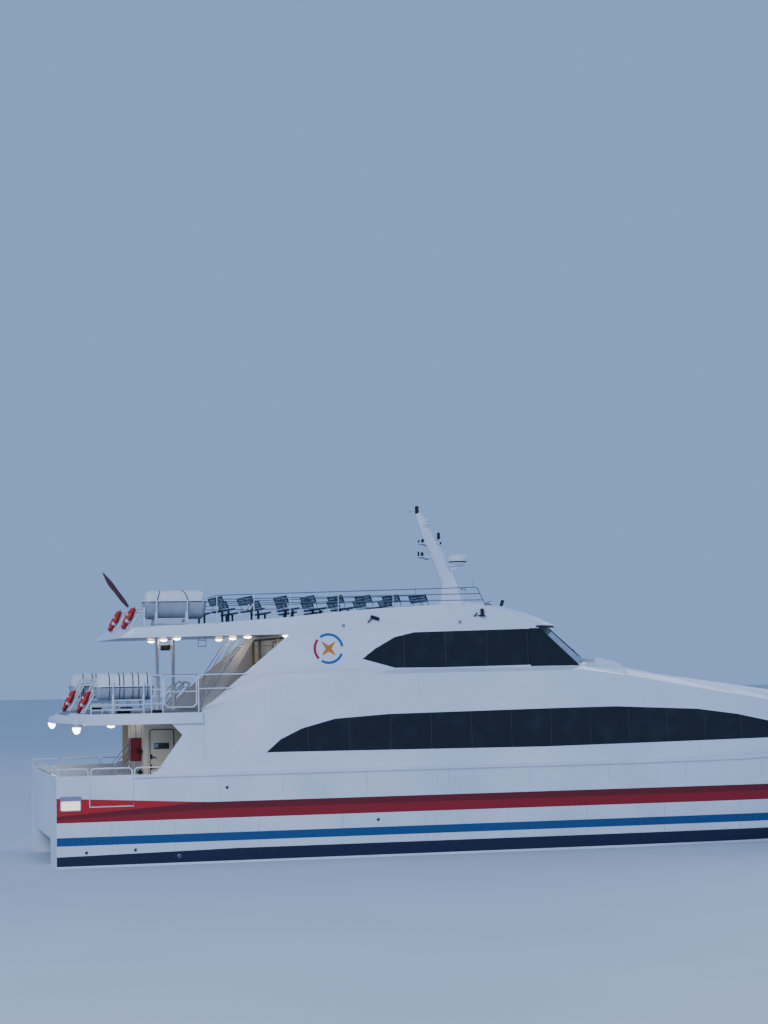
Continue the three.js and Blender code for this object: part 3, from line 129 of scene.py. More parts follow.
@dataclass
class Sheet:
    """A material's node tree with the sums, coordinates and patterns that most finishes share."""

    material: Material
    tree: bpy.types.NodeTree
    shader: Node
    place: Socket

    @classmethod
    def new(cls, name: str) -> "Sheet":
        """Starts a material with an empty principled shader.

        Args:
            name: The material's name.

        Returns:
            The sheet to draw on.
        """
        material = bpy.data.materials.new(name)
        material.use_nodes = True
        tree = material.node_tree
        tree.nodes.clear()
        shader = add_node(tree, "BsdfPrincipled")
        add_node(tree, "OutputMaterial", links={0: shader.outputs[0]})
        place = add_node(tree, "TexCoord").outputs["Object"]
        return cls(material, tree, shader, place)

    def put(self, entry: Socket, value: Socket | float | str) -> None:
        """Links a socket to an input, or sets a number or a hex colour on it."""
        if isinstance(value, Socket):
            self.tree.links.new(value, entry)
        else:
            entry.default_value = linear(value) if isinstance(value, str) else value

    def sums(self, operation: str, first: Socket, second: Socket | float = 0.0) -> Socket:
        """Does one sum.

        Args:
            operation: The Math node's operation.
            first: The first value.
            second: The second value.

        Returns:
            The socket with the result.
        """
        node = add_node(self.tree, "Math", {"operation": operation})
        self.put(node.inputs[0], first)
        self.put(node.inputs[1], second)
        return node.outputs[0]

    def times(self, first: Socket, second: Socket | float) -> Socket:
        """The product of two values."""
        return self.sums("MULTIPLY", first, second)

    def between(self, value: Socket, low: Socket | float, high: Socket | float) -> Socket:
        """1 where the value lies between two limits."""
        return self.times(self.sums("GREATER_THAN", value, low), self.sums("LESS_THAN", value, high))

    def any_of(self, masks: Iterable[Socket]) -> Socket:
        """1 where any of the masks is 1."""
        return reduce(lambda one, other: self.sums("MAXIMUM", one, other), masks)

    def mixed(self, share: Socket, low: Socket | str, high: Socket | str) -> Socket:
        """Mixes two colours by a share.

        Args:
            share: 0 gives the low colour, 1 the high one.
            low: A colour socket or a hex colour.
            high: A colour socket or a hex colour.

        Returns:
            The mixed colour.
        """
        node = add_node(self.tree, "Mix", {"data_type": "RGBA"}, {0: share})
        self.put(node.inputs[6], low)
        self.put(node.inputs[7], high)
        return node.outputs[2]

    def noise(self, size_mm: float, detail: int, stretch: Point = (1, 1, 1)) -> Socket:
        """Cloudy noise.

        Args:
            size_mm: The patches' size.
            detail: Octaves of finer noise.
            stretch: Stretch of the coordinates along x, y and z.

        Returns:
            A value from 0 to 1.
        """
        place = add_node(self.tree, "Mapping", {"Scale": stretch}, {0: self.place}).outputs[0]
        return add_node(self.tree, "TexNoise", {"Scale": 1000 / size_mm, "Detail": detail}, {0: place}).outputs[0]

    def share(self, value: Socket, low: float, high: float, to_low: float = 0.0, to_high: float = 1.0) -> Socket:
        """Maps a value's range to another and holds it there."""
        return add_node(self.tree, "MapRange", {1: low, 2: high, 3: to_low, 4: to_high}, {0: value}).outputs[0]

    def axes(self) -> list[Socket]:
        """The object's own x, y and z."""
        return list(add_node(self.tree, "SeparateXYZ", links={0: self.place}).outputs)

    def facing(self) -> list[Socket]:
        """The x, y and z of the way that the surface faces."""
        normal = add_node(self.tree, "TexCoord").outputs["Normal"]
        return list(add_node(self.tree, "SeparateXYZ", links={0: normal}).outputs)

    def patched(self, size_mm: float, detail: int, span: Two, clean: str, worn: str) -> Socket:
        """Two colours in cloudy patches.

        Args:
            size_mm: The patches' size.
            detail: Octaves of finer noise.
            span: The noise at which a patch starts and at which it is full.
            clean: The colour between the patches.
            worn: The colour of the patches.

        Returns:
            The colour.
        """
        return self.mixed(self.share(self.noise(size_mm, detail), *span), clean, worn)

    def bump(self, height: Socket, deep_mm: float, strength: float, under: Socket | None = None) -> Socket:
        """Adds relief.

        Args:
            height: The pattern from 0 to 1.
            deep_mm: Its depth.
            strength: How much of it shows.
            under: A bump that lies below this one.

        Returns:
            The normal to shade with.
        """
        links = {"Height": height} | ({"Normal": under} if under else {})
        return add_node(self.tree, "Bump", {"Strength": strength, "Distance": deep_mm / 1000}, links).outputs[0]

    def sprayed(self, fairing_mm: float, waviness: float, peel_mm: float) -> Socket:
        """The relief of paint sprayed over faired plate: slow waves under fine orange peel.

        Args:
            fairing_mm: The waves' size.
            waviness: How much of the waves shows.
            peel_mm: The orange peel's size.

        Returns:
            The normal to shade with.
        """
        waves = self.bump(self.noise(fairing_mm, 2), 12, waviness)
        return self.bump(self.noise(peel_mm, 1), 0.2, 0.25, waves)

    def entry(self, name: str) -> Socket:
        """The shader's input by its name, with _ for a space."""
        return self.shader.inputs[name.replace("_", " ").title().replace("Ior", "IOR")]

    def feed(self, **sockets: Socket) -> None:
        """Links sockets to the shader's inputs."""
        for name, socket in sockets.items():
            self.put(self.entry(name), socket)

    def settle(self, **values: float) -> Material:
        """Sets even values on the shader's own sockets and gives the material back."""
        for name, value in values.items():
            self.put(self.entry(name), value)
        return self.material


# Finishes


@dataclass(frozen=True)
class SprayedTopsidePaint:
    """Two-part polyurethane sprayed over faired aluminium plate.

    It gives the eye a smooth cool white with slow waves in its reflections where the filler was sanded by
    hand, and faint grey runs below ledges where spray has dried.
    """

    name: str = "topside_paint_sprayed"
    clean: str = "#EFF2F7"
    shaded: str = "#E1E6EF"
    runs: str = "#BEBEBA"
    run_share: float = 0.25
    run_mm: float = 110.0
    run_stretch: float = 0.06
    shade_mm: float = 2400.0
    fairing_mm: float = 900.0
    peel_mm: float = 6.0

    def material(self) -> Material:
        """Makes the paint. The orange peel is drawn at 6 mm, coarser than real, so that it shows."""
        sheet = Sheet.new(self.name)
        streaks = sheet.noise(self.run_mm, 4, (1, 1, self.run_stretch))
        patches = sheet.noise(self.shade_mm, 3)
        body = sheet.mixed(sheet.share(patches, 0.35, 0.7), self.clean, self.shaded)
        grime = sheet.times(sheet.share(streaks, 0.56, 0.78), sheet.share(patches, 0.4, 0.75))
        sheet.feed(
            base_color=sheet.mixed(sheet.times(grime, self.run_share), body, self.runs),
            roughness=sheet.share(streaks, 0.3, 0.8, 0.22, 0.38),
            normal=sheet.sprayed(self.fairing_mm, 0.35, self.peel_mm),
        )
        return sheet.settle(ior=1.5, coat_weight=0.35, coat_roughness=0.12)


@dataclass(frozen=True)
class DeckedPaint:
    """Sprayed white sides, non-slip paint rolled on the faces that people walk on, and dull ceiling panels below.

    It gives the eye a clean white edge round a grey deck with trodden paths, over a panelled underside whose downward
    faces take a darker colour as painted shade.
    A face counts as deck where it is level, lies near one of the floors' heights and is abaft fore_end.
    """

    name: str
    floors: Row
    deck: str = "#7C858D"
    worn: str = "#989FA4"
    side: str = "#E9EDF3"
    shaded: str = "#DCE2EB"
    # The ceiling panels' colour, darkened as painted shade: it stands in for the shade on faces that look down.
    ceiling: str = "#918F86"
    seam: str = "#6B6A64"
    level: float = 0.93
    reach: float = 0.06
    fore_end: float = 100.0
    shade_mm: float = 2400.0
    path_mm: float = 800.0
    panel_mm: float = 900.0
    seam_mm: float = 12.0
    grit_mm: float = 7.0
    grit_deep_mm: float = 1.2
    side_roughness: float = 0.28

    def material(self) -> Material:
        """Makes the paint. Its grit is drawn at 7 mm, coarser than the real 1 mm, so that it shows."""
        sheet = Sheet.new(self.name)
        x, y, z = sheet.axes()
        up = sheet.facing()[2]
        near = sheet.any_of(sheet.between(z, height - self.reach, height + self.reach) for height in self.floors)
        level = sheet.times(sheet.sums("GREATER_THAN", up, self.level), near)
        floor = sheet.times(level, sheet.sums("LESS_THAN", x, self.fore_end))
        grit = sheet.noise(self.grit_mm, 2)
        deck = sheet.patched(self.path_mm, 4, (0.45, 0.75), self.deck, self.worn)
        side = sheet.patched(self.shade_mm, 3, (0.35, 0.7), self.side, self.shaded)
        panels = (sheet.sums("FRACT", sheet.sums("DIVIDE", axis, self.panel_mm / 1000)) for axis in (x, y))
        seams = sheet.any_of(sheet.sums("LESS_THAN", panel, self.seam_mm / self.panel_mm) for panel in panels)
        # Painted shade: faces that look down take the darker ceiling colour, with dark panel seams.
        below = sheet.sums("LESS_THAN", up, -0.5)
        side = sheet.mixed(below, side, sheet.mixed(seams, self.ceiling, self.seam))
        rough = sheet.times(sheet.share(grit, 0.3, 0.7, 0.55, 0.85), floor)
        sheet.feed(
            base_color=sheet.mixed(floor, side, deck),
            roughness=sheet.sums("MAXIMUM", rough, self.side_roughness),
            normal=sheet.bump(sheet.times(grit, floor), self.grit_deep_mm, 0.6),
        )
        return sheet.settle(ior=1.5)


@dataclass(frozen=True)
class BandedHullPaint:
    """The demihulls' sprayed polyurethane, with masked bands of red, blue and navy, and antifouling below.

    It gives the eye crisp bands that follow the sheer on the outer sides only, and plate seams that show as
    hairlines.
    The red carries painted light: a brighter lens of painted highlight where the plate turns upwards, over a darker
    band of painted shade.
    """

    name: str = "hull_paint_banded"
    white: str = "#EAEEF4"
    worn: str = "#D8DDE5"
    rust: str = "#A8A49C"
    red: str = "#9C0713"
    # Painted light in the red band: a brighter red as painted highlight and a darker red as painted shade.
    red_painted_highlight: str = "#C40E18"
    red_painted_shade: str = "#74030C"
    blue: str = "#0B4C7E"
    navy: str = "#0B0E34"
    antifouling: str = "#4A2A28"
    seam: str = "#4B535E"
    red_low: float = 1.24
    red_high: float = 1.91
    red_drop: float = 0.22
    red_drop_to: float = 4.2
    # The feet of the red's painted highlight and painted shade, which rise over the first few metres from the
    # transom.
    painted_light_to: float = 4.4
    highlight_rise: Two = (1.42, 1.72)
    shade_rise: Two = (1.33, 1.5)
    blue_band: Two = (0.61, 0.84)
    navy_band: Two = (0.06, 0.32)
    navy_rise: float = 0.08
    navy_rise_to: float = 5.0
    outer_from: float = 0.3
    upper_seams: Row = (6.3, 8.7, 11.1, 13.5, 15.9, 18.3, 20.7)
    upper_span: Two = (1.9, 2.42)
    lower_seams: Row = (1.5, 3.25, 5.6, 8.0, 10.4, 12.8, 15.2, 17.6, 20.0)
    lower_span: Two = (0.3, 1.2)
    seam_half: float = 0.006
    seam_share: float = 0.45
    rust_share: float = 0.2
    run_mm: float = 60.0
    shade_mm: float = 1800.0
    fairing_mm: float = 800.0
    peel_mm: float = 6.0

    def material(self) -> Material:
        """Makes the paint with its bands. The orange peel is drawn at 6 mm, coarser than real."""
        sheet = Sheet.new(self.name)
        x, y, z = sheet.axes()
        outward = sheet.times(sheet.facing()[1], sheet.sums("SIGN", y))
        outer = sheet.sums("GREATER_THAN", outward, self.outer_from)
        streaks = sheet.noise(self.run_mm, 4, (1, 1, 0.08))
        white = sheet.patched(self.shade_mm, 3, (0.4, 0.75), self.white, self.worn)
        colour = sheet.mixed(sheet.times(sheet.share(streaks, 0.6, 0.8), self.rust_share), white, self.rust)
        top = sheet.share(x, 0, self.red_drop_to, self.red_high, self.red_high - self.red_drop)
        # Painted light in the red band: painted highlight from the lens's foot up to the band's top, and painted
        # shade below it down to its own foot.
        highlight_low = sheet.share(x, 0, self.painted_light_to, *self.highlight_rise)
        shade_low = sheet.share(x, 0, self.painted_light_to, *self.shade_rise)
        red = sheet.mixed(sheet.between(z, shade_low, highlight_low), self.red, self.red_painted_shade)
        red = sheet.mixed(sheet.between(z, highlight_low, top), red, self.red_painted_highlight)
        navy_low, navy_high = self.navy_band
        navy_top = sheet.share(x, 0, self.navy_rise_to, navy_high, navy_high + self.navy_rise)
        for band, paint in (
            (sheet.between(z, self.red_low, top), red), (sheet.between(z, *self.blue_band), self.blue),
            (sheet.between(z, navy_low, navy_top), self.navy),
        ):
            colour = sheet.mixed(sheet.times(band, outer), colour, paint)
        colour = sheet.mixed(sheet.sums("LESS_THAN", z, 0.0), colour, self.antifouling)
        lines = sheet.any_of(
            sheet.times(sheet.between(x, seam - self.seam_half, seam + self.seam_half), sheet.between(z, *span))
            for seams, span in ((self.upper_seams, self.upper_span), (self.lower_seams, self.lower_span))
            for seam in seams
        )
        sheet.feed(
            base_color=sheet.mixed(sheet.times(lines, self.seam_share), colour, self.seam),
            roughness=sheet.share(streaks, 0.3, 0.8, 0.24, 0.42),
            normal=sheet.sprayed(self.fairing_mm, 0.3, self.peel_mm),
        )
        return sheet.settle(ior=1.5, coat_weight=0.3, coat_roughness=0.15)


@dataclass(frozen=True)
class GrainedFinish:
    """A colour with aged patches under a fine grain, which shows in the sheen and in relief.

    The grain is drawn at grain_mm, coarser than real, so that it shows.
    """

    name: str
    colour: str
    aged: str
    roughness: float = 0.5
    spread: Two = (-0.08, 0.1)
    patch_mm: float = 140.0
    patch_detail: int = 3
    patch_span: Two = (0.4, 0.8)
    grain_mm: float = 5.0
    grain_stretch: Three = (1, 1, 1)
    grain_deep_mm: float = 0.4
    grain_share: float = 0.4
    metal: bool = False

    def material(self) -> Material:
        """Makes the finish."""
        sheet = Sheet.new(self.name)
        grain = sheet.noise(self.grain_mm, 2, self.grain_stretch)
        sheet.feed(
            base_color=sheet.patched(self.patch_mm, self.patch_detail, self.patch_span, self.colour, self.aged),
            roughness=sheet.share(grain, 0.3, 0.7, *(self.roughness + step for step in self.spread)),
            normal=sheet.bump(grain, self.grain_deep_mm, self.grain_share),
        )
        return sheet.settle(metallic=1.0) if self.metal else sheet.settle(ior=1.5)


@dataclass(frozen=True)
class BrushedEnamel(GrainedFinish):
    """Satin enamel laid on by brush and roller over steel or joinery.

    It gives the eye an even colour with soft upright brush marks in its sheen and a little yellowing in patches.
    """

    roughness: float = 0.42
    spread: Two = (-0.06, 0.08)
    patch_mm: float = 900.0
    patch_span: Two = (0.35, 0.75)
    grain_mm: float = 4.0
    grain_stretch: Three = (1, 1, 0.08)
    grain_share: float = 0.35


@dataclass(frozen=True)
class NonSlipDeckPaint(GrainedFinish):
    """Deck paint rolled out over broadcast grit, which gives the eye a dull sand-like sparkle and worn paths."""

    roughness: float = 0.7
    spread: Two = (-0.15, 0.15)
    patch_mm: float = 800.0
    patch_detail: int = 4
    patch_span: Two = (0.45, 0.75)
    grain_mm: float = 7.0
    grain_deep_mm: float = 1.2
    grain_share: float = 0.6


@dataclass(frozen=True)
class MouldedPlastic(GrainedFinish):
    """Polyethylene or nylon moulded in one colour, which gives the eye a soft sheen with sun-bleached patches."""


@dataclass(frozen=True)
class WorkedMetal(GrainedFinish):
    """Bare metal, cast, brushed or polished, which gives the eye tarnish in patches and fine tool lines."""

    spread: Two = (-0.07, 0.12)
    patch_mm: float = 100.0
    patch_detail: int = 4
    grain_mm: float = 3.0
    grain_stretch: Three = (0.1, 1, 1)
    grain_deep_mm: float = 0.2
    metal: bool = True


@dataclass(frozen=True)
class TintedGlass:
    """Float glass with a dark privacy tint, bonded in panes.

    It gives the eye a near-black face with a clear reflection that bends a little where each pane was rolled.
    """

    name: str = "tinted_glass_bonded"
    tint: str = "#07090C"
    dust: str = "#23262A"
    film_mm: float = 500.0
    roll_mm: float = 1300.0

    def material(self) -> Material:
        """Makes the glass."""
        sheet = Sheet.new(self.name)
        film = sheet.noise(self.film_mm, 4)
        sheet.feed(
            base_color=sheet.mixed(sheet.share(film, 0.5, 0.85), self.tint, self.dust),
            roughness=sheet.share(film, 0.3, 0.8, 0.05, 0.16),
            normal=sheet.bump(sheet.noise(self.roll_mm, 1), 4, 0.25),
        )
        return sheet.settle(ior=1.52, coat_weight=0.2, coat_roughness=0.04)


@dataclass(frozen=True)
class MouldedFibreglass:
    """Polyester gelcoat from a mould with fine ribs, which gives the eye a chalky satin with weathered patches."""

    name: str
    colour: str
    chalked: str
    roughness: float = 0.4
    patch_mm: float = 250.0
    run_mm: float = 30.0
    ripple_mm: float = 12.0

    def material(self) -> Material:
        """Makes the gelcoat."""
        sheet = Sheet.new(self.name)
        patches = sheet.noise(self.patch_mm, 4)
        runs = sheet.noise(self.run_mm, 3, (1, 1, 0.1))
        chalk = sheet.times(sheet.share(patches, 0.4, 0.8), sheet.share(runs, 0.3, 0.8))
        sheet.feed(
            base_color=sheet.mixed(chalk, self.colour, self.chalked),
            roughness=sheet.share(patches, 0.3, 0.8, self.roughness, self.roughness + 0.2),
            normal=sheet.bump(sheet.noise(self.ripple_mm, 2), 0.8, 0.4),
        )
        return sheet.settle(ior=1.5, coat_weight=0.15, coat_roughness=0.2)


@dataclass(frozen=True)
class WovenCloth:
    """Woven bunting or webbing, which gives the eye a thread grid with sheen on the folds."""

    name: str
    colour: str
    faded: str
    thread_mm: float = 6.0
    patch_mm: float = 200.0

    def material(self) -> Material:
        """Makes the cloth. Its threads are drawn 6 mm apart, coarser than the real 0.5 mm, so that they show."""
        sheet = Sheet.new(self.name)
        weave = add_node(sheet.tree, "TexChecker", {"Scale": 1000 / self.thread_mm}, {0: sheet.place})
        sheet.feed(
            base_color=sheet.patched(self.patch_mm, 3, (0.35, 0.75), self.colour, self.faded),
            normal=sheet.bump(weave.outputs[1], 0.6, 0.5),
        )
        return sheet.settle(roughness=0.85, sheen_weight=0.4)


@dataclass(frozen=True)
class LampDiffuser:
    """Frosted polycarbonate over a lit lamp, which gives the eye an even glow with a fine frost."""

    name: str
    glow: str
    strength: float
    frost_mm: float = 20.0

    def material(self) -> Material:
        """Makes the lit diffuser."""
        sheet = Sheet.new(self.name)
        colour = sheet.patched(self.frost_mm, 2, (0.3, 0.7), self.glow, "#FFFFFF")
        sheet.feed(base_color=colour, emission_color=colour)
        return sheet.settle(emission_strength=self.strength, roughness=0.4)


class Finish(Enum):
    """Every finish on the ferry."""

    TOPSIDE = SprayedTopsidePaint()
    HULL = BandedHullPaint()
    RAIL = BrushedEnamel("rail_enamel_brushed", "#E3E7EE", "#CBCFD6", 0.34)
    CREAM = BrushedEnamel("bulkhead_enamel_cream", "#E0D6BA", "#D2C5A2")
    CREAM_LINE = BrushedEnamel("batten_enamel_cream", "#B9AE92", "#A69B80")
    CABINET = BrushedEnamel("cabinet_enamel_red", "#8E1418", "#6D1013", 0.35)
    DECK = NonSlipDeckPaint("deck_paint_nonslip", "#6E767D", "#8A8F92")
    GLASS = TintedGlass()
    PANE_JOINT = MouldedPlastic("pane_sealant_black", "#2E3338", "#42484F", 0.6)
    RAFT_TOP = MouldedFibreglass("raft_gelcoat_white", "#E4E7EB", "#C6CBD0")
    # The tub is drawn in a darker grey than the lid, so the canister is darker towards the bottom.
    RAFT_LOW = MouldedFibreglass("raft_gelcoat_darker_tub", "#A3AAB3", "#858D97", 0.5)
    BUOY = MouldedPlastic("lifebuoy_shell_orange", "#B8201C", "#CE3A2A", 0.48)
    BAND = WovenCloth("lifebuoy_band_white", "#E4E2DC", "#C9C5BC")
    SLAT = MouldedPlastic("bench_slat_plastic", "#3F5058", "#5A6B72", 0.5)
    BENCH_FRAME = BrushedEnamel("bench_frame_enamel", "#1E282D", "#2A343A", 0.45)
    STRAP = WovenCloth("raft_strap_webbing", "#3A414C", "#555C66")
    MAIN_DECK = DeckedPaint("main_deck_paint", (1.645, 2.5))
    UPPER_DECK = DeckedPaint("upper_deck_paint", (4.17,))
    SUNDECK = DeckedPaint("sundeck_paint", (6.56,), fore_end=11.9)
    # The sundeck rail's bars: a dark blue-grey, partly the bars' own grey and partly painted shade for thin bars seen
    # from below against the sky.
    THIN_RAIL = BrushedEnamel("thin_rail_grey_and_painted_shade", "#626F86", "#525E74", 0.4)
    ZINC = WorkedMetal("galvanised_dipped", "#9AA1A8", "#747B82", 0.5)
    RUBBER = MouldedPlastic("rubber_black", "#15171A", "#24282C", 0.7)
    STEEL = WorkedMetal("stainless_brushed", "#A8ADB2", "#7F858A", 0.3)
    BRONZE = WorkedMetal("bronze_cast", "#A97F3F", "#5F6B4A", 0.38)
    IRON = WorkedMetal("engine_iron_cast", "#4A5056", "#33383D", 0.6)
    FLAG = WovenCloth("flag_bunting_red", "#4B1B26", "#6E3A40")
    LAMP = LampDiffuser("lamp_diffuser_warm", "#FFEFC8", 11.0)
    BOX_LAMP = LampDiffuser("box_lamp_diffuser", "#FFD9A0", 1.1)
    EMBLEM_WARM = BrushedEnamel("emblem_enamel_amber", "#D98A2B", "#C97822", 0.35)
    EMBLEM_COOL = BrushedEnamel("emblem_enamel_blue", "#1F5FA8", "#2A6CB0", 0.35)
    EMBLEM_RED = BrushedEnamel("emblem_enamel_red", "#A8243A", "#B5344A", 0.35)
    HOOD = BrushedEnamel("hood_enamel_grey", "#8B95A6", "#7A8494", 0.4)


@cache
def made(finish: Finish) -> Material:
    """The finish's material, made once."""
    return finish.value.material()


# Shape helpers


@dataclass
class Piece:
    """One piece under construction, whose parts each take a finish."""

    name: str
    finishes: tuple[Finish, ...]
    mesh: bmesh.types.BMesh | None = None

    def __post_init__(self) -> None:
        """Starts an empty mesh."""
        self.mesh = bmesh.new()

    def faces(self, rings: Sequence[Sequence[Vector]], finish: int = 0, closed_ring: bool = True,
              capped: bool = True, closed_run: bool = False) -> None:
        """Skins rings of equal point count.

        Args:
            rings: The rings in order.
            finish: Which of the piece's finishes the faces take.
            closed_ring: Whether each ring closes on itself.
            capped: Whether the first and last rings are filled.
            closed_run: Whether the last ring joins the first.
        """
        bm = self.mesh
        rows = [[bm.verts.new(point) for point in ring] for ring in rings]
        count = len(rows[0])
        made_faces = []
        pairs = list(zip(rows, rows[1:]))
        if closed_run:
            pairs.append((rows[-1], rows[0]))
        for low, high in pairs:
            for k in range(count if closed_ring else count - 1):
                after = (k + 1) % count
                made_faces.append(bm.faces.new((low[k], low[after], high[after], high[k])))
        if capped and not closed_run:
            made_faces.append(bm.faces.new(list(reversed(rows[0]))))
            made_faces.append(bm.faces.new(rows[-1]))
        for face in made_faces:
            face.material_index = finish
            face.smooth = True

    def box(self, corner: Point, opposite: Point, finish: int = 0, bevel: float = 0.004,
            turn: Matrix | None = None) -> None:
        """Adds a block with rounded edges.

        Args:
            corner: One of its corners.
            opposite: The corner opposite to it.
            finish: Which of the piece's finishes it takes.
            bevel: The radius of its edges.
            turn: A matrix applied to it.
        """
        first, second = Vector(corner), Vector(opposite)
        size = [abs(length) for length in second - first]
        place = Matrix.Translation((first + second) / 2) @ Matrix.Diagonal((*size, 1))
        if turn is not None:
            place = turn @ place
        verts = bmesh.ops.create_cube(self.mesh, size=1, matrix=place)["verts"]
        edges = list({edge for vert in verts for edge in vert.link_edges})
        result = bmesh.ops.bevel(self.mesh, geom=edges, offset=min(bevel, min(size) * 0.3), segments=2,
                                 affect="EDGES", profile=0.5)
        seen = set(result["faces"]) | {face for vert in verts if vert.is_valid for face in vert.link_faces}
        for face in list(seen):
            for edge in face.edges:
                seen.update(edge.link_faces)
        for face in seen:
            face.material_index = finish

    def tube(self, points: Sequence[Point], radius: float, sides: int = 10, finish: int = 0,
             closed: bool = False) -> None:
        """Adds a round bar that follows points, with mitred corners.

        Args:
            points: The centreline.
            radius: The bar's radius.
            sides: Sides of its section.
            finish: Which of the piece's finishes it takes.
            closed: Whether the bar runs back to its start.
        """
        spine = [Vector(point) for point in points]
        count = len(spine)
        normal = None
        rings = []
        for k, here in enumerate(spine):
            before = spine[k - 1] if closed or k > 0 else None
            after = spine[(k + 1) % count] if closed or k + 1 < count else None
            into = (here - before).normalized() if before is not None else (after - here).normalized()
            out = (after - here).normalized() if after is not None else into
            along = (into + out).normalized()
            if normal is None:
                normal = along.orthogonal().normalized()
            normal = (normal - along * normal.dot(along)).normalized()
            other = along.cross(normal)
            stretch = 1 / max(0.5, along.dot(into))
            rings.append([here + (normal * cos(a) + other * sin(a)) * radius * stretch
                          for a in circle(sides)])
        self.faces(rings, finish, capped=not closed, closed_run=closed)

    def lathe(self, profile: Sequence[Two], centre: Point, axis: Point, steps: int = 24,
              finish: int = 0) -> None:
        """Turns a profile about an axis.

        Args:
            profile: Pairs of place along the axis and radius, open at both ends.
            centre: Where the axis starts.
            axis: The axis's direction.
            steps: Steps round the turn.
            finish: Which of the piece's finishes it takes.
        """
        direction = Vector(axis).normalized()
        first = direction.orthogonal().normalized()
        second = direction.cross(first)
        start = Vector(centre)
        rings = [[start + direction * place + (first * cos(a) + second * sin(a)) * max(radius, 1e-4)
                  for a in circle(steps)] for place, radius in profile]
        self.faces(rings, finish)

    def panel(self, rows: Sequence[Sequence[Vector]], inward: Vector, finish: int = 0) -> None:
        """Adds a thin closed panel over a grid of points.

        Args:
            rows: The outer face's points, row by row.
            inward: The way from the outer face to the inner one.
            finish: Which of the piece's finishes it takes.
        """
        self.faces([list(row) + [point + inward for point in reversed(row)] for row in rows], finish)

    def done(self, body: str = ROOT, replaces: Iterable[str] = (),
             angle: float = 35.0) -> bpy.types.Object:
        """Finishes the piece and fastens it to its body.

        Args:
            body: The CAD body that carries it.
            replaces: CAD nodes that it stands for.
            angle: Edges sharper than this many degrees stay crisp.

        Returns:
            The new object.
        """
        bmesh.ops.recalc_face_normals(self.mesh, faces=self.mesh.faces)
        limit = radians(angle)
        for edge in self.mesh.edges:
            edge.smooth = edge.is_manifold and edge.calc_face_angle(0.0) < limit
        for face in self.mesh.faces:
            face.smooth = True
        data = bpy.data.meshes.new(self.name)
        self.mesh.to_mesh(data)
        self.mesh.free()
        for finish in self.finishes:
            data.materials.append(made(finish))
        piece = add_object(self.name, data)
        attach(piece, body)
        nodes = tuple(replaces)
        if nodes:
            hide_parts(*nodes)
        LOG.info("%s: %d faces, rides on %s", self.name, len(data.polygons), body)
        return piece


@dataclass
class Skin:
    """The outer surface of some CAD nodes, for trim that lies on it."""

    nodes: tuple[str, ...]
    reach: float = 6.0

    def __post_init__(self) -> None:
        """Builds one search tree over the nodes."""
        points: list[Vector] = []
        faces: list[list[int]] = []
        for name in self.nodes:
            data = NODES[name].data
            start = len(points)
            points.extend(vertex.co.copy() for vertex in data.vertices)
            faces.extend([start + k for k in polygon.vertices] for polygon in data.polygons)
        self.tree = BVHTree.FromPolygons(points, faces)

    def cast(self, start: Vector, way: Vector) -> Vector:
        """The first point that a ray meets, or the nearest one where it meets none."""
        return self.tree.ray_cast(start, way)[0] or self.tree.find_nearest(start)[0]

    def beside(self, x: float, z: float, side: Side, proud: float = 0.0) -> Vector:
        """The point on the skin at x and z, seen from abeam.

        Args:
            x: Place along the ferry.
            z: Height.
            side: The side it is seen from.
            proud: How far outside the skin the point stands.

        Returns:
            The point.
        """
        out = Vector((0, side.value, 0))
        return self.cast(Vector((x, side.value * self.reach, z)), -out) + out * proud

    def above(self, x: float, y: float) -> Vector:
        """The point on the skin at x and y, seen from above."""
        return self.cast(Vector((x, y, 20)), -UP)

    def below(self, x: float, y: float, start: float) -> Vector:
        """The point on the skin over x and y, seen from the height start."""
        return self.cast(Vector((x, y, start)), UP)


def add_object(name: str, data: bpy.types.ID) -> bpy.types.Object:
    """Adds an object to the scene."""
    item = bpy.data.objects.new(name, data)
    bpy.context.scene.collection.objects.link(item)
    return item


def rounded_loop(centre: Point, first: Vector, second: Vector, corner: float, steps: int = 5) -> list[Vector]:
    """A closed rectangle with round corners.

    Args:
        centre: Its middle.
        first: From the middle to one edge.
        second: From the middle to the next edge.
        corner: The corners' radius.
        steps: Steps round each corner.

    Returns:
        The points in order.
    """
    middle = Vector(centre)
    one, two = first.normalized(), second.normalized()
    reach_one, reach_two = first.length - corner, second.length - corner
    points = []
    for quarter, (a, b) in enumerate(CORNERS):
        heart = middle + one * reach_one * a + two * reach_two * b
        start = quarter * pi / 2
        points += [heart + one * cos(t) * corner + two * sin(t) * corner
                   for t in even(start, start + pi / 2, steps)]
    return points


def even(start: float, end: float, steps: int) -> list[float]:
    """Evenly spaced values from start to end, both included."""
    return [start + (end - start) * k / steps for k in range(steps + 1)]


def circle(steps: int) -> list[float]:
    """Evenly spaced angles once round."""
    return even(0, 2 * pi, steps)[:-1]


# Sub-assemblies


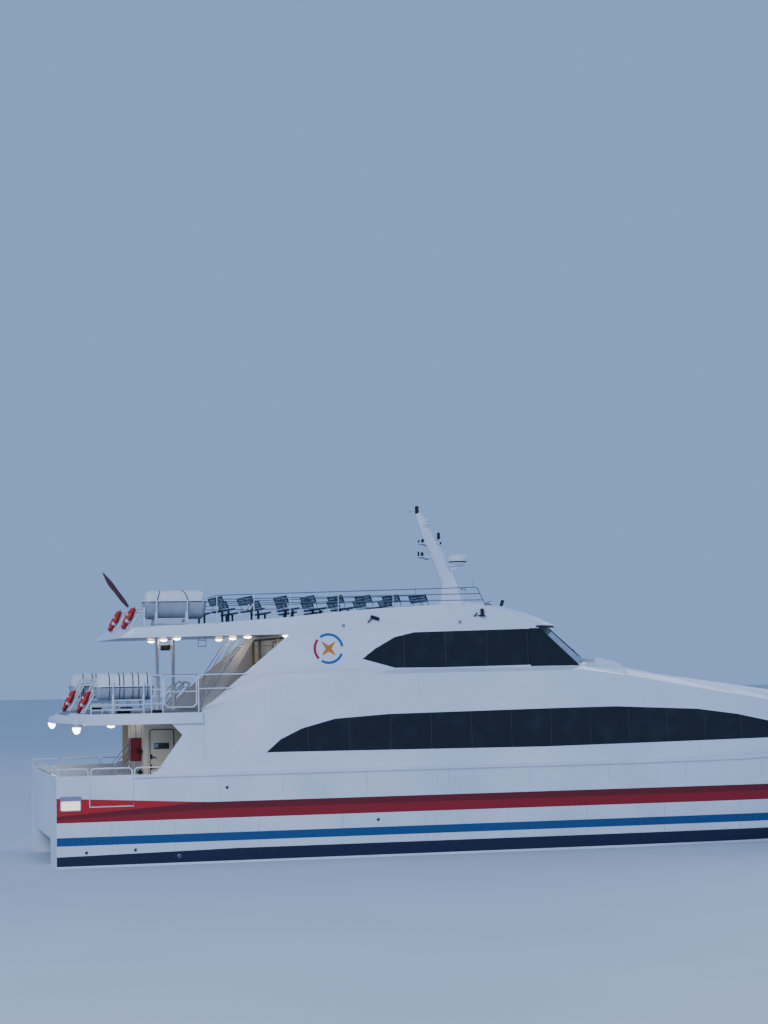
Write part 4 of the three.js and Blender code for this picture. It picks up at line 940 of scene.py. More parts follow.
@dataclass
class CadFinishes:
    """The CAD nodes that stay, each with its real finish."""

    by_slot: tuple[tuple[str, Finish], ...] = (
        ("white_paint", Finish.TOPSIDE), ("hull_paint", Finish.HULL), ("cream_paint", Finish.CREAM),
        ("red_paint", Finish.CABINET), ("dark_glass", Finish.GLASS), ("raft_shell", Finish.RAFT_TOP),
        ("buoy_skin", Finish.BUOY), ("seat_slats", Finish.SLAT), ("deck_grey", Finish.DECK),
        ("propeller_bronze", Finish.BRONZE), ("rudder_steel", Finish.STEEL), ("engine_iron", Finish.IRON),
    )
    railings: tuple[str, ...] = ("rail", "gate", "cradle", "rack", "pillars")
    round_bars: float = radians(75)
    crisp: float = radians(28)
    decks: tuple[tuple[str, Finish], ...] = (
        ("bridge_deck", Finish.MAIN_DECK), ("upper_deck", Finish.UPPER_DECK), ("roof", Finish.SUNDECK),
    )

    def build(self) -> None:
        """Gives each node the material of its slot, and brushed enamel to the rails."""
        finishes = dict(self.by_slot)
        slots = {part["node"]: part["material_slot"] for part in frame["record"]["subparts"]}
        for name, node in NODES.items():
            finish = finishes[slots[name]]
            if any(word in name for word in self.railings) and "bulwark" not in name:
                finish = Finish.RAIL
            if "bulwark_gate" in name:
                finish = Finish.HULL
            finish = dict(self.decks).get(name, finish)
            node.data.materials.clear()
            node.data.materials.append(made(finish))
            node.data.shade_smooth()
            node.data.set_sharp_from_angle(angle=self.round_bars if finish is Finish.RAIL else self.crisp)
        LOG.info("cad_finishes: %d nodes", len(NODES))


@dataclass(frozen=True)
class Windscreen:
    """The raked outer face of the windscreen, as rows of half breadth, x at the sill and x at the head."""

    stations: tuple[Three, ...] = (
        (0.0, 16.42, 15.08), (1.9, 16.12, 14.82), (3.4, 15.3, 14.04), (3.7, 15.18, 13.92))
    sill: float = 5.26
    head: float = 6.42
    half: float = 3.5
    lean: float = 0.0744

    def half_at(self, z: float) -> float:
        """Half the house's breadth at a height."""
        return self.half - (z - self.sill) * self.lean

    def at(self, y: float, z: float, proud: float = 0.0) -> Vector:
        """A point on the face.

        Args:
            y: Place across the ferry.
            z: Height.
            proud: How far outside the face the point stands.

        Returns:
            The point.
        """
        share = (z - self.sill) / (self.head - self.sill)
        rows = [(reach, low + (high - low) * share, (high - low) / (self.head - self.sill))
                for reach, low, high in self.stations]
        for (near, x, rake), (far, next_x, _) in zip(rows, rows[1:]):
            if abs(y) <= far:
                slope = (next_x - x) / (far - near)
                place = Vector((x + slope * (abs(y) - near), y, z))
                return place + Vector((1, -copysign(slope, y), -rake)).normalized() * proud
        raise ValueError(f"y {y} lies outside the windscreen")


@dataclass
class WindowTrim:
    """Sealant round the long window bands, the joints between their panes and the bonded glass of the house's front.

    The corner glass carries the upper band round to the windscreen. The front glass covers the windscreen's panes
    and posts, as shares of the screen's half breadth.
    """

    bead: float = 0.012
    joint: float = 0.014
    joint_rise: float = 0.002
    joint_thick: float = 0.005
    pitch: float = 1.22
    margin: float = 0.01
    corner_joint: float = 13.77
    wrap_low: float = 5.28
    wrap_high: float = 6.385
    wrap_thick: float = 0.03
    corner_rise: float = 0.008
    front_rise: float = 0.028
    front_joint_rise: float = 0.031
    front_joint_half: float = 0.003
    front_curb: float = 0.1
    front_columns: Row = (0, 0.18, 0.36, 0.543, 0.7, 0.85, 0.92, 0.972, 1)
    front_joints: Row = (-0.543, -0.18, 0.18, 0.543)

    def build(self) -> None:
        """Builds the trim for both bands on both sides, and the front glass."""
        for band in ("cabin_glazing", "house_glazing"):
            for side in Side:
                self.trim(band, side)
        for side in Side:
            self.corner(side)
        self.front()

    def trim(self, band: str, side: Side) -> None:
        """Builds the bead round one band and its upright joints.

        Args:
            band: The glazing's name.
            side: The side of the ferry.
        """
        node = f"{band}_{side.word}"
        skin = Skin((node,))
        low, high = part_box(node)
        piece = Piece(f"{node}_joints", (Finish.PANE_JOINT,))
        half = Vector((self.joint / 2, 0, 0))
        inward = Vector((0, -side.value * self.joint_thick, 0))
        for x in even(low.x, high.x, max(2, round((high.x - low.x) / self.pitch)))[1:-1]:
            heights = self.reach(skin, x, low.z, high.z, side)
            if heights is not None:
                points = [skin.beside(x, z, side, self.joint_rise) for z in even(*heights, 6)]
                piece.panel([[point - half, point + half] for point in points], inward)
        tops, bottoms = [], []
        for x in even(low.x + self.margin, high.x - self.margin, 60):
            heights = self.reach(skin, x, low.z, high.z, side)
            if heights is not None:
                bottoms.append(skin.beside(x, heights[0], side))
                tops.append(skin.beside(x, heights[1], side))
        piece.tube(bottoms + list(reversed(tops)), self.bead, 6, 0, closed=True)
        piece.done()

    def reach(self, skin: Skin, x: float, low: float, high: float, side: Side) -> Two | None:
        """Lowest and highest height at which the glass is met at x.

        Args:
            skin: The glass.
            x: Place along the ferry.
            low: Where the search starts.
            high: Where it ends.
            side: The side of the ferry.

        Returns:
            The two heights, or None where there is no glass.
        """
        def met(z: float) -> bool:
            """Whether the glass is met at a height."""
            start = Vector((x, side.value * skin.reach, z))
            return skin.tree.ray_cast(start, Vector((0, -side.value, 0)), 3.5)[0] is not None

        steps = 40
        inside = [z for z in even(low, high, steps) if met(z)]
        if not inside:
            return None
        ends = []
        for known, limit in ((inside[0], low - self.margin), (inside[-1], high + self.margin)):
            near = known
            far = known + copysign(min((high - low) / steps, abs(limit - known)), limit - known)
            for _ in range(9):
                middle = (near + far) / 2
                near, far = (middle, far) if met(middle) else (near, middle)
            ends.append(near)
        return ends[0], ends[1]

    def corner(self, side: Side) -> None:
        """Builds the bonded glass that carries the upper band round to the windscreen.

        Args:
            side: The side of the ferry.
        """
        screen = Windscreen()
        piece = Piece(f"corner_glass_{side.word}", (Finish.GLASS,))
        rows = []
        for z in even(self.wrap_low, self.wrap_high, 12):
            half = screen.half_at(z)
            fore = screen.at(half, z).x + self.corner_rise
            y = side.value * (half + self.corner_rise)
            rows.append([Vector((x, y, z)) for x in even(self.corner_joint, fore, 8)])
        piece.panel(rows, Vector((0, -side.value * self.wrap_thick, 0)))
        piece.done()

    def front(self) -> None:
        """Builds the bonded glass over the windscreen's panes and posts, and its joints."""
        screen = Windscreen()
        piece = Piece("front_glass", (Finish.GLASS, Finish.PANE_JOINT))
        inward = Vector((-self.wrap_thick, 0, -self.wrap_thick))

        def rows(shares: Iterable[float], proud: float) -> list[list[Vector]]:
            """Points of the glass at shares of its half breadth, whose foot rises from the corners."""
            lows = [(share, self.wrap_low + self.front_curb * min(1.0, (1 - abs(share)) * 8)) for share in shares]
            return [
                [screen.at(screen.half_at(z) * share, z, proud)
                 for share, z in ((share, low + (self.wrap_high - low) * up) for share, low in lows)]
                for up in even(0, 1, 8)
            ]

        columns = sorted({sign * share for sign in (-1, 1) for share in self.front_columns})
        piece.panel(rows(columns, self.front_rise), inward)
        for joint in self.front_joints:
            pair = (joint - self.front_joint_half, joint + self.front_joint_half)
            piece.panel(rows(pair, self.front_joint_rise), inward, 1)
        piece.done()


class RaftPlace(Enum):
    """The three life rafts."""

    STARBOARD = "starboard"
    PORT = "port"
    ROOF = "roof"


@dataclass
class LifeRaft:
    """A life raft canister: a ribbed lid over a deeper tub, with a lipped seam, straps and their releases."""

    place: RaftPlace
    strap_width: float = 0.03
    strap_thick: float = 0.004
    strap_rise: float = 0.006
    lip: float = 0.014
    rib_pitch: float = 0.13
    rib_depth: float = 0.008
    squareness: float = 0.72
    roof_seam: float = 0.1
    lid_short: float = 0.04
    deck_shift: float = 0.09
    deck_straps: Row = (1.5, 1.78, 1.9, 2.15, 2.31, 2.56)
    roof_straps: tuple[Two, ...] = ((3.09, 2.985), (3.73, 3.86))

    def __post_init__(self) -> None:
        """Reads the canister's middle and sizes from its CAD solid."""
        self.node = f"raft_{self.place.value}"
        low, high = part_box(self.node)
        self.centre = (low + high) / 2
        self.radius = (high.z - low.z) / 2
        self.half = (high.x - low.x) / 2
        self.seam = self.roof_seam
        if self.place is not RaftPlace.ROOF:
            self.centre.x -= self.deck_shift
            self.half -= self.deck_shift
            self.seam = 0.0

    def build(self) -> None:
        """Builds the canister over its CAD solid."""
        finishes = (Finish.RAFT_TOP, Finish.RAFT_LOW, Finish.STRAP, Finish.STEEL, Finish.RUBBER)
        piece = Piece(f"{self.node}_canister", finishes)
        self.shell(piece, self.half - self.lid_short, True)
        self.shell(piece, self.half, False)
        outline = rounded_loop(self.centre + UP * self.seam, AHEAD * self.half, ACROSS * (self.radius + 0.004),
                               self.radius * 0.55, 8)
        piece.tube(outline, self.lip, 8, 0, closed=True)
        piece.tube([p - UP * self.lip * 1.6 for p in outline], self.lip * 0.7, 6, 4, closed=True)
        on_roof = self.place is RaftPlace.ROOF
        for top, foot in self.roof_straps if on_roof else zip(self.deck_straps, self.deck_straps):
            self.strap(piece, top, foot)
        piece.done(replaces=(self.node,))

    def section(self, a: float, wide: float, high: float) -> Two:
        """The squarish section's place across and up at an angle, from its half breadth and its height."""
        c, h = cos(a), sin(a)
        return (copysign(abs(c) ** self.squareness, c) * wide,
                copysign(abs(h) ** self.squareness, h) * high)

    def shell(self, piece: Piece, half: float, lid: bool) -> None:
        """Adds the lid or the tub.

        Args:
            piece: The piece that gets it.
            half: Half its length.
            lid: Whether it is the lid.
        """
        sign = 1 if lid else -1
        height = self.radius - sign * self.seam
        rings = []
        ribs = max(1, round(2 * half / self.rib_pitch))
        for turn in even(0, pi, 48):
            share = -cos(turn)
            end = min(1.0, (1 - abs(share)) / 0.16)
            fullness = sqrt(max(0.0, 1 - (1 - end) ** 2))
            rib = self.rib_depth if end >= 1 and (share * ribs / 2) % 1.0 < 0.3 else 0.0
            ring = []
            for a in even(0, pi, 20):
                wide, high = (self.radius - rib) * (0.35 + 0.65 * fullness), (height - rib) * fullness
                y, z = self.section(a, wide, high)
                ring.append(self.centre + Vector((half * share, y, self.seam + sign * z)))
            rings.append(ring)
        piece.faces(rings, 0 if lid else 1)

    def strap(self, piece: Piece, top: float, foot: float) -> None:
        """Adds one lashing strap with its release.

        Args:
            piece: The piece that gets it.
            top: Place along x at the canister's top.
            foot: Place along x at the seam and below.
        """
        core = Vector((0, self.centre.y, self.centre.z + self.seam))
        edges = [[], []]
        for a in circle(48):
            height = self.radius - self.seam if sin(a) > 0 else self.radius + self.seam
            y, z = self.section(a, self.radius + self.strap_rise, height + self.strap_rise)
            x = foot + (top - foot) * max(0.0, sin(a))
            for edge, sign in zip(edges, (-1, 1)):
                edge.append(core + Vector((x + sign * self.strap_width / 2, y, z)))
        inner = [[p + (Vector((p.x, core.y, core.z)) - p).normalized() * self.strap_thick for p in edge]
                 for edge in edges]
        piece.faces([edges[0], edges[1], inner[1], inner[0]], 2, capped=False, closed_run=True)
        near = core.y - (self.radius + 0.01)
        piece.box((foot - 0.02, near - 0.012, core.z - 0.12), (foot + 0.02, near + 0.004, core.z - 0.04), 3, 0.003)


@dataclass
class Lifebuoys:
    """Lifebuoys with white bands and a grab line, at the rake of their racks."""

    names: tuple[str, ...] = ("deck_starboard", "deck_port", "roof_starboard", "roof_port")
    ring: float = 0.295
    tube: float = 0.07
    rake: float = RACK_RAKE
    first_band: float = pi + 0.38
    band_half: float = 0.11
    band_rise: float = 0.002
    line_slack: float = 0.012
    line: float = 0.006

    def build(self) -> None:
        """Builds the four buoys."""
        for name in self.names:
            self.buoy(name)

    def buoy(self, name: str) -> None:
        """Builds one buoy over its CAD solid.

        Args:
            name: The end of the node's name.
        """
        node = f"lifebuoy_{name}"
        low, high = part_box(node)
        centre = (low + high) / 2
        up = Vector((sin(self.rake), 0, cos(self.rake)))
        out = up.cross(ACROSS)
        piece = Piece(f"{node}_ring", (Finish.BUOY, Finish.BAND, Finish.RUBBER))

        def section(a: float, reach: float) -> list[Vector]:
            """The ring's section at an angle."""
            spoke = ACROSS * cos(a) + up * sin(a)
            middle = centre + spoke * self.ring
            return [middle + (spoke * cos(b) + out * sin(b)) * reach for b in circle(20)]

        piece.faces([section(a, self.tube) for a in circle(64)], 0, closed_run=True)
        line = []
        for quarter in range(4):
            middle = self.first_band + quarter * pi / 2
            angles = even(middle - self.band_half, middle + self.band_half, 6)
            piece.faces([section(a, self.tube + self.band_rise) for a in angles], 1)
            for a in even(middle, middle + pi / 2, 10)[:-1]:
                slack = self.line_slack * sin((a - middle) * 2)
                spoke = ACROSS * cos(a) + up * sin(a)
                line.append(centre + spoke * (self.ring + self.tube + self.band_rise + slack))
        piece.tube(line, self.line, 6, 2, closed=True)
        piece.done(replaces=(node,))


@dataclass
class SundeckBenches:
    """Slatted benches on the sundeck, in two columns of eight."""

    rows: Row = (4.79, 5.65, 6.66, 7.47, 8.29, 9.12, 9.96, 10.78)
    long_rows: int = 2
    inner_long: float = 0.55
    inner_starboard: float = 1.0
    inner_port: float = 1.35
    outer: float = 2.9
    pan_rise: float = 0.49
    pan_from: float = 0.09
    pan_to: float = 0.42
    pan_slats: int = 5
    pan_tilt: float = radians(8.0)
    back_low: float = 0.66
    back_high: float = 0.85
    lean: float = 0.075
    back_slats: int = 3
    posts: Two = (1.6, 2.65)
    post_aft: float = 0.25
    bolt_reach: Two = (0.06, 0.05)
    bar_wide: float = 0.04
    bar_thick: float = 0.012

    def build(self) -> None:
        """Builds all benches as one piece over their CAD solid."""
        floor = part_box("sundeck_seats")[0].z
        piece = Piece("sundeck_benches", (Finish.SLAT, Finish.BENCH_FRAME, Finish.STEEL, Finish.HOOD))
        for k, x in enumerate(self.rows):
            inner = self.inner_long if k < self.long_rows else self.inner_starboard
            self.bench(piece, x, Side.STARBOARD, floor, inner)
            self.bench(piece, x, Side.PORT, floor, self.inner_port)
        piece.done(replaces=("sundeck_seats",))

    def bench(self, piece: Piece, x: float, side: Side, floor: float, inner: float) -> None:
        """Adds one bench.

        Args:
            piece: The piece that gets it.
            x: Place of the back's top edge.
            side: The side of the ferry.
            floor: Height of the deck.
            inner: Distance of its inner end from the centreline.
        """
        near, far = sorted((side.value * inner, side.value * self.outer))
        top = floor + self.pan_rise
        heel = Vector((x + self.pan_from, 0, top - 0.02))
        tip_up = Matrix.Translation(heel) @ Matrix.Rotation(-self.pan_tilt, 4, "Y") @ Matrix.Translation(-heel)
        pitch = (self.pan_to - self.pan_from) / self.pan_slats
        for k in range(self.pan_slats):
            low = heel.x + k * pitch
            piece.box((low, near, top - 0.028), (low + pitch - 0.008, far, top - 0.006), 0, 0.005, tip_up)
        for y in (near + 0.03, far - 0.03, (near + far) / 2):
            fore = x + self.pan_to - 0.02
            piece.box((heel.x + 0.01, y - 0.02, top - 0.06), (fore, y + 0.02, top - 0.03), 1, 0.004, tip_up)
        self.back(piece, x, near, far, floor)
        for y in (near + 0.12, (near + far) / 2, far - 0.12):
            self.flat_bar(piece, [
                (x + self.lean + 0.012, y, floor + self.back_low + 0.02),
                (x + self.lean + 0.05, y, floor + self.back_low - 0.05),
                (x + self.lean + 0.055, y, top + 0.02), (x + 0.12, y, top - 0.05),
                (x + 0.25, y, top - 0.055), (x + self.pan_to - 0.05, y, top - 0.02),
            ])
        for y in self.posts:
            foot = Vector((x + self.post_aft, side.value * y, floor))
            piece.lathe([(0, 0.036), (0.02, 0.032), (self.pan_rise - 0.08, 0.032), (self.pan_rise - 0.05, 0.05)],
                        foot, UP, 14, 1)
            piece.box(foot - Vector((0.08, 0.07, 0)), foot + Vector((0.08, 0.07, 0.012)), 1, 0.004)
            for sx, sy in CORNERS:
                bolt = foot + Vector((sx * self.bolt_reach[0], sy * self.bolt_reach[1], 0.012))
                piece.lathe([(0, 0.009), (0.009, 0.009)], bolt, UP, 6, 2)

    def back(self, piece: Piece, x: float, near: float, far: float, floor: float) -> None:
        """Adds a bench's back: upright slats in a frame, leaning aft.

        Args:
            piece: The piece that gets it.
            x: Place of the back's top edge.
            near: One end across the ferry.
            far: The other end.
            floor: Height of the deck.
        """
        low, high = self.back_low, self.back_high
        rise = (high - low) / self.back_slats

        def at(height: float) -> float:
            """Place along x of the back at a height above the deck."""
            return x + self.lean * (high - height) / (high - low)

        for k in range(self.back_slats):
            bottom, top = low + k * rise + 0.004, low + (k + 1) * rise - 0.004
            ring = [(at(bottom), bottom), (at(top), top), (at(top) + 0.018, top + 0.002),
                    (at(bottom) + 0.018, bottom + 0.002)]
            piece.faces([[Vector((px, y, floor + pz)) for px, pz in ring] for y in (near, far)], 0)
        for y in (near, (near + far) / 2 - 0.02, far - 0.04):
            ring = [(at(low) - 0.006, low - 0.01), (at(high) - 0.006, high), (at(high) + 0.03, high),
                    (at(low) + 0.03, low - 0.01)]
            piece.faces([[Vector((px, y + dy, floor + pz)) for px, pz in ring] for dy in (0.0, 0.04)], 1)
        for height in (low, high):
            middle = at(height) + 0.01
            piece.tube([(middle, near, floor + height), (middle, far, floor + height)], 0.017, 10, 1)

    def flat_bar(self, piece: Piece, points: Sequence[Point]) -> None:
        """Adds a bent flat bar that lies in a fore-and-aft plane.

        Args:
            piece: The piece that gets it.
            points: Its centreline.
        """
        spine = [Vector(point) for point in points]
        rings = []
        for k, here in enumerate(spine):
            before = spine[max(k - 1, 0)]
            after = spine[min(k + 1, len(spine) - 1)]
            along = (after - before).normalized()
            normal = along.cross(ACROSS).normalized()
            rings.append([here + normal * s * self.bar_thick / 2 + Vector((0, t * self.bar_wide / 2, 0))
                          for s, t in CORNERS])
        piece.faces(rings, 3)


@dataclass
class SundeckRail:
    """The thin guard rails of the sundeck's sides.

    On the starboard side the rail starts ahead of the life raft, which closes the deck's edge itself.
    """

    abeam: float = 3.3
    posts: Row = (4.6, 5.66, 6.7, 8.11, 9.73, 11.84)
    aft_posts: Row = (3.8,)
    level_from: Two = (4.1, 7.42)
    level_to: Two = (12.6, 7.6)
    drops: Row = (0.0, 1.0, 2.0)
    drop_aft: float = 0.11
    drop_growth: float = 0.009
    overhang: float = 0.24
    front: Two = (12.25, 12.52)
    bar: float = 0.013

    def build(self) -> None:
        """Builds the rails of both sides."""
        roof = Skin(("roof", "house_side_starboard", "house_side_port"))
        # The bars take the dark blue-grey that is partly painted shade, and the posts take white enamel.
        piece = Piece("sundeck_guard_rail", (Finish.THIN_RAIL, Finish.RAIL))
        for side in Side:
            self.rail(piece, side, roof)
        piece.done(replaces=("sundeck_rail",))

    def level(self, x: float, drop: float = 0.0) -> float:
        """Height of a bar at x, where drop counts the bars from the top one."""
        (x0, z0), (x1, z1) = self.level_from, self.level_to
        return z0 + (z1 - z0) * (x - x0) / (x1 - x0) - drop * (self.drop_aft + self.drop_growth * (x - x0))

    def rail(self, piece: Piece, side: Side, roof: Skin) -> None:
        """Adds one side's rail.

        Args:
            piece: The piece that gets it.
            side: The side of the ferry.
            roof: The skin that the posts stand on.
        """
        y = side.value * self.abeam
        posts = self.posts if side is Side.STARBOARD else self.aft_posts + self.posts
        for x in posts:
            foot = roof.above(x, y).z
            piece.tube([(x, y, foot - 0.02), (x, y, self.level(x))], self.bar * 0.9, 10, 1)
            piece.lathe([(-0.004, 0.034), (0.006, 0.034), (0.01, 0.02)], (x, y, foot), UP, 14, 1)
        head, toe = self.front
        toe_z = roof.above(toe, y).z
        head_z = self.level(head)
        start = posts[0] - self.overhang
        for drop in self.drops:
            z = self.level(head, drop)
            bars = [(x, y, self.level(x, drop)) for x in posts if roof.above(x, y).z < self.level(x, drop) - 0.05]
            if drop == 0:
                bars = [(start, y, self.level(start) - 0.06)] + bars
                bars += [(head - 0.05, y, self.level(head - 0.05)), (head, y, head_z - 0.012), (toe, y, toe_z - 0.02)]
            elif z > toe_z + 0.06:
                bars.append((head + (toe - head) * (head_z - z) / (head_z - toe_z), y, z))
            piece.tube(bars, self.bar, 10, 0)


@dataclass
class BuoyRack:
    """A raked rack across a deck's aft end, which carries two lifebuoys."""

    name: str
    foot: Two
    run: float
    pipes: Row
    bar_end: float
    deck: str
    replaces: tuple[str, ...] = ()
    rake: float = RACK_RAKE
    bar_step: float = 0.085
    tie_share: float = 0.645
    pipe: float = 0.026
    thin_share: float = 0.7

    def build(self) -> None:
        """Builds the rack."""
        skin = Skin((self.deck,))
        piece = Piece(self.name, (Finish.RAIL,))
        lean = Vector((sin(self.rake), 0, cos(self.rake)))
        thin = self.pipe * self.thin_share

        def along(reach: float, y: float) -> Vector:
            """A point on the rack's plane."""
            return Vector((self.foot[0], y, self.foot[1])) + lean * reach

        for reach in (self.run, self.run - self.bar_step):
            piece.tube([along(reach, -self.bar_end), along(reach, self.bar_end)], self.pipe, 12)
        for s in (-1, 1):
            for y in self.pipes:
                piece.tube([along(0.01, s * y), along(self.run + 0.01, s * y)], self.pipe, 12)
            end = s * self.pipes[-1]
            tie, top = along(self.run * self.tie_share, end), along(self.run, end)
            piece.tube([tie, (top.x, end, tie.z), (top.x, end, skin.above(top.x, end).z)], thin, 12)
            corner = along(self.run, s * self.bar_end)
            if self.bar_end > self.pipes[-1]:
                piece.tube([corner, (corner.x, corner.y, skin.above(corner.x, corner.y).z)], thin, 12)
        piece.done(replaces=self.replaces)


@dataclass
class DeckLamps:
    """Dome lamps under the upper deck and the roof, and the light that they cast.

    Each lamp has its x, its y and the height of its base, or 0 where it is flush with the ceiling.
    """

    deck_lamps: tuple[Three, ...] = (
        (0.6, -3.6, 3.84), (0.6, 3.6, 3.84), (1.56, -3.5, 0.0), (1.56, 3.5, 0.0), (1.9, 0.3, 0.0),
    )
    roof_lamps: tuple[Three, ...] = (
        (3.55, -2.65, 0.0), (3.55, 0.0, 0.0), (3.55, 2.65, 0.0),
        (5.62, -2.45, 0.0), (5.62, 0.0, 0.0), (5.62, 2.45, 0.0), (6.6, -3.2, 0.0),
    )
    radius: float = 0.115
    flush_drop: float = 0.065
    hung_drop: float = 0.19
    watts: float = 3.5
    glow: str = "#FFE2A8"

    def build(self) -> None:
        """Builds the lamps of both ceilings."""
        for node, places, start in (("upper_deck", self.deck_lamps, 3.0), ("roof", self.roof_lamps, 5.5)):
            name = f"{node}_lamps"
            underside = Skin((node,))
            piece = Piece(name, (Finish.LAMP, Finish.RAIL))
            for x, y, hung in places:
                ceiling = underside.below(x, y, start).z
                self.lamp(piece, name, (x, y, hung or ceiling), self.hung_drop if hung else self.flush_drop)
                if hung:
                    piece.tube([(x, y, ceiling + 0.02), (x, y, hung - 0.005)], 0.03, 12, 1)
            piece.done()

    def lamp(self, piece: Piece, name: str, place: Point, drop: float) -> None:
        """Adds one lamp and its light.

        Args:
            piece: The piece that gets it.
            name: The row's name.
            place: The middle of its base.
            drop: How far its dome hangs below the base.
        """
        wide = self.radius
        piece.lathe([(0, wide + 0.025), (0.018, wide + 0.025), (0.03, wide + 0.008)], place, (0, 0, -1), 24, 1)
        dome = [(0.02 + drop * sin(a), max(0.001, wide * cos(a))) for a in even(0, pi / 2, 6)]
        piece.lathe(dome, place, (0, 0, -1), 24, 0)
        lamp = bpy.data.lights.new(f"{name}_{place[0]:.2f}_{place[1]:.2f}", "POINT")
        lamp.energy = self.watts
        lamp.color = linear(self.glow)[:3]
        lamp.shadow_soft_size = wide
        add_object(lamp.name, lamp).location = (place[0], place[1], place[2] - drop - 0.12)


@dataclass
class DoorFittings:
    """Gaskets, handles and blank plates on the doors, which swing with them."""

    gasket: float = 0.011

    def build(self) -> None:
        """Builds the fittings of the three doors."""
        self.casing_door()
        self.aft_door("main_door", 4.905, (1.7, 2.56), (1.72, 3.715))
        self.aft_door("house_door", 6.75, (-1.25, -0.39), (4.24, 6.17))

    def casing_door(self) -> None:
        """Builds the fittings of the door in the casing's side."""
        face = -2.75
        piece = Piece("casing_door_fittings", (Finish.RUBBER, Finish.STEEL, Finish.PANE_JOINT))
        loop = rounded_loop((3.075, face - 0.003, 2.7175), AHEAD * 0.335, UP * 0.965, 0.07)
        piece.tube(loop, self.gasket, 6, 0, closed=True)
        piece.box((2.85, face - 0.008, 3.14), (3.28, face + 0.001, 3.31), 2, 0.004)
        piece.box((2.87, face - 0.0095, 3.165), (2.985, face - 0.007, 3.285), 1, 0.002)
        for z in (2.93, 2.64):
            piece.box((2.755, face - 0.012, z - 0.07), (2.8, face + 0.001, z + 0.07), 0, 0.004)
            grip = [(2.778, face - 0.008, z), (2.778, face - 0.05, z), (2.90, face - 0.052, z - 0.02)]
            piece.tube(grip, 0.011, 8, 0)
        piece.done("casing_door")

    def aft_door(self, name: str, face: float, across: Two, up: Two) -> None:
        """Builds the fittings of a door in an aft bulkhead.

        Args:
            name: The door's node and body.
            face: Its outer face, along x.
            across: Its edges, along y.
            up: Its foot and head.
        """
        (y0, y1), (z0, z1) = across, up
        middle = ((y0 + y1) / 2, (z0 + z1) / 2)
        piece = Piece(f"{name}_fittings", (Finish.RUBBER, Finish.STEEL, Finish.GLASS))
        wide, high = (y1 - y0) / 2 - 0.055, (z1 - z0) / 2 - 0.045
        loop = rounded_loop((face - 0.002, *middle), ACROSS * wide, UP * high, 0.07)
        piece.tube(loop, self.gasket, 6, 0, closed=True)
        pane = rounded_loop((face - 0.004, middle[0], z0 + 1.45), ACROSS * 0.2, UP * 0.27, 0.06)
        piece.faces([pane, [p + AHEAD * 0.004 for p in pane]], 2)
        piece.tube(pane, 0.012, 6, 1, closed=True)
        y = y0 + 0.11
        piece.box((face - 0.01, y - 0.025, z0 + 0.9), (face + 0.001, y + 0.025, z0 + 1.08), 1, 0.004)
        grip = [(face - 0.006, y, z0 + 1.0), (face - 0.05, y, z0 + 1.0), (face - 0.052, y + 0.12, z0 + 0.99)]
        piece.tube(grip, 0.01, 8, 1)
        piece.done(name)


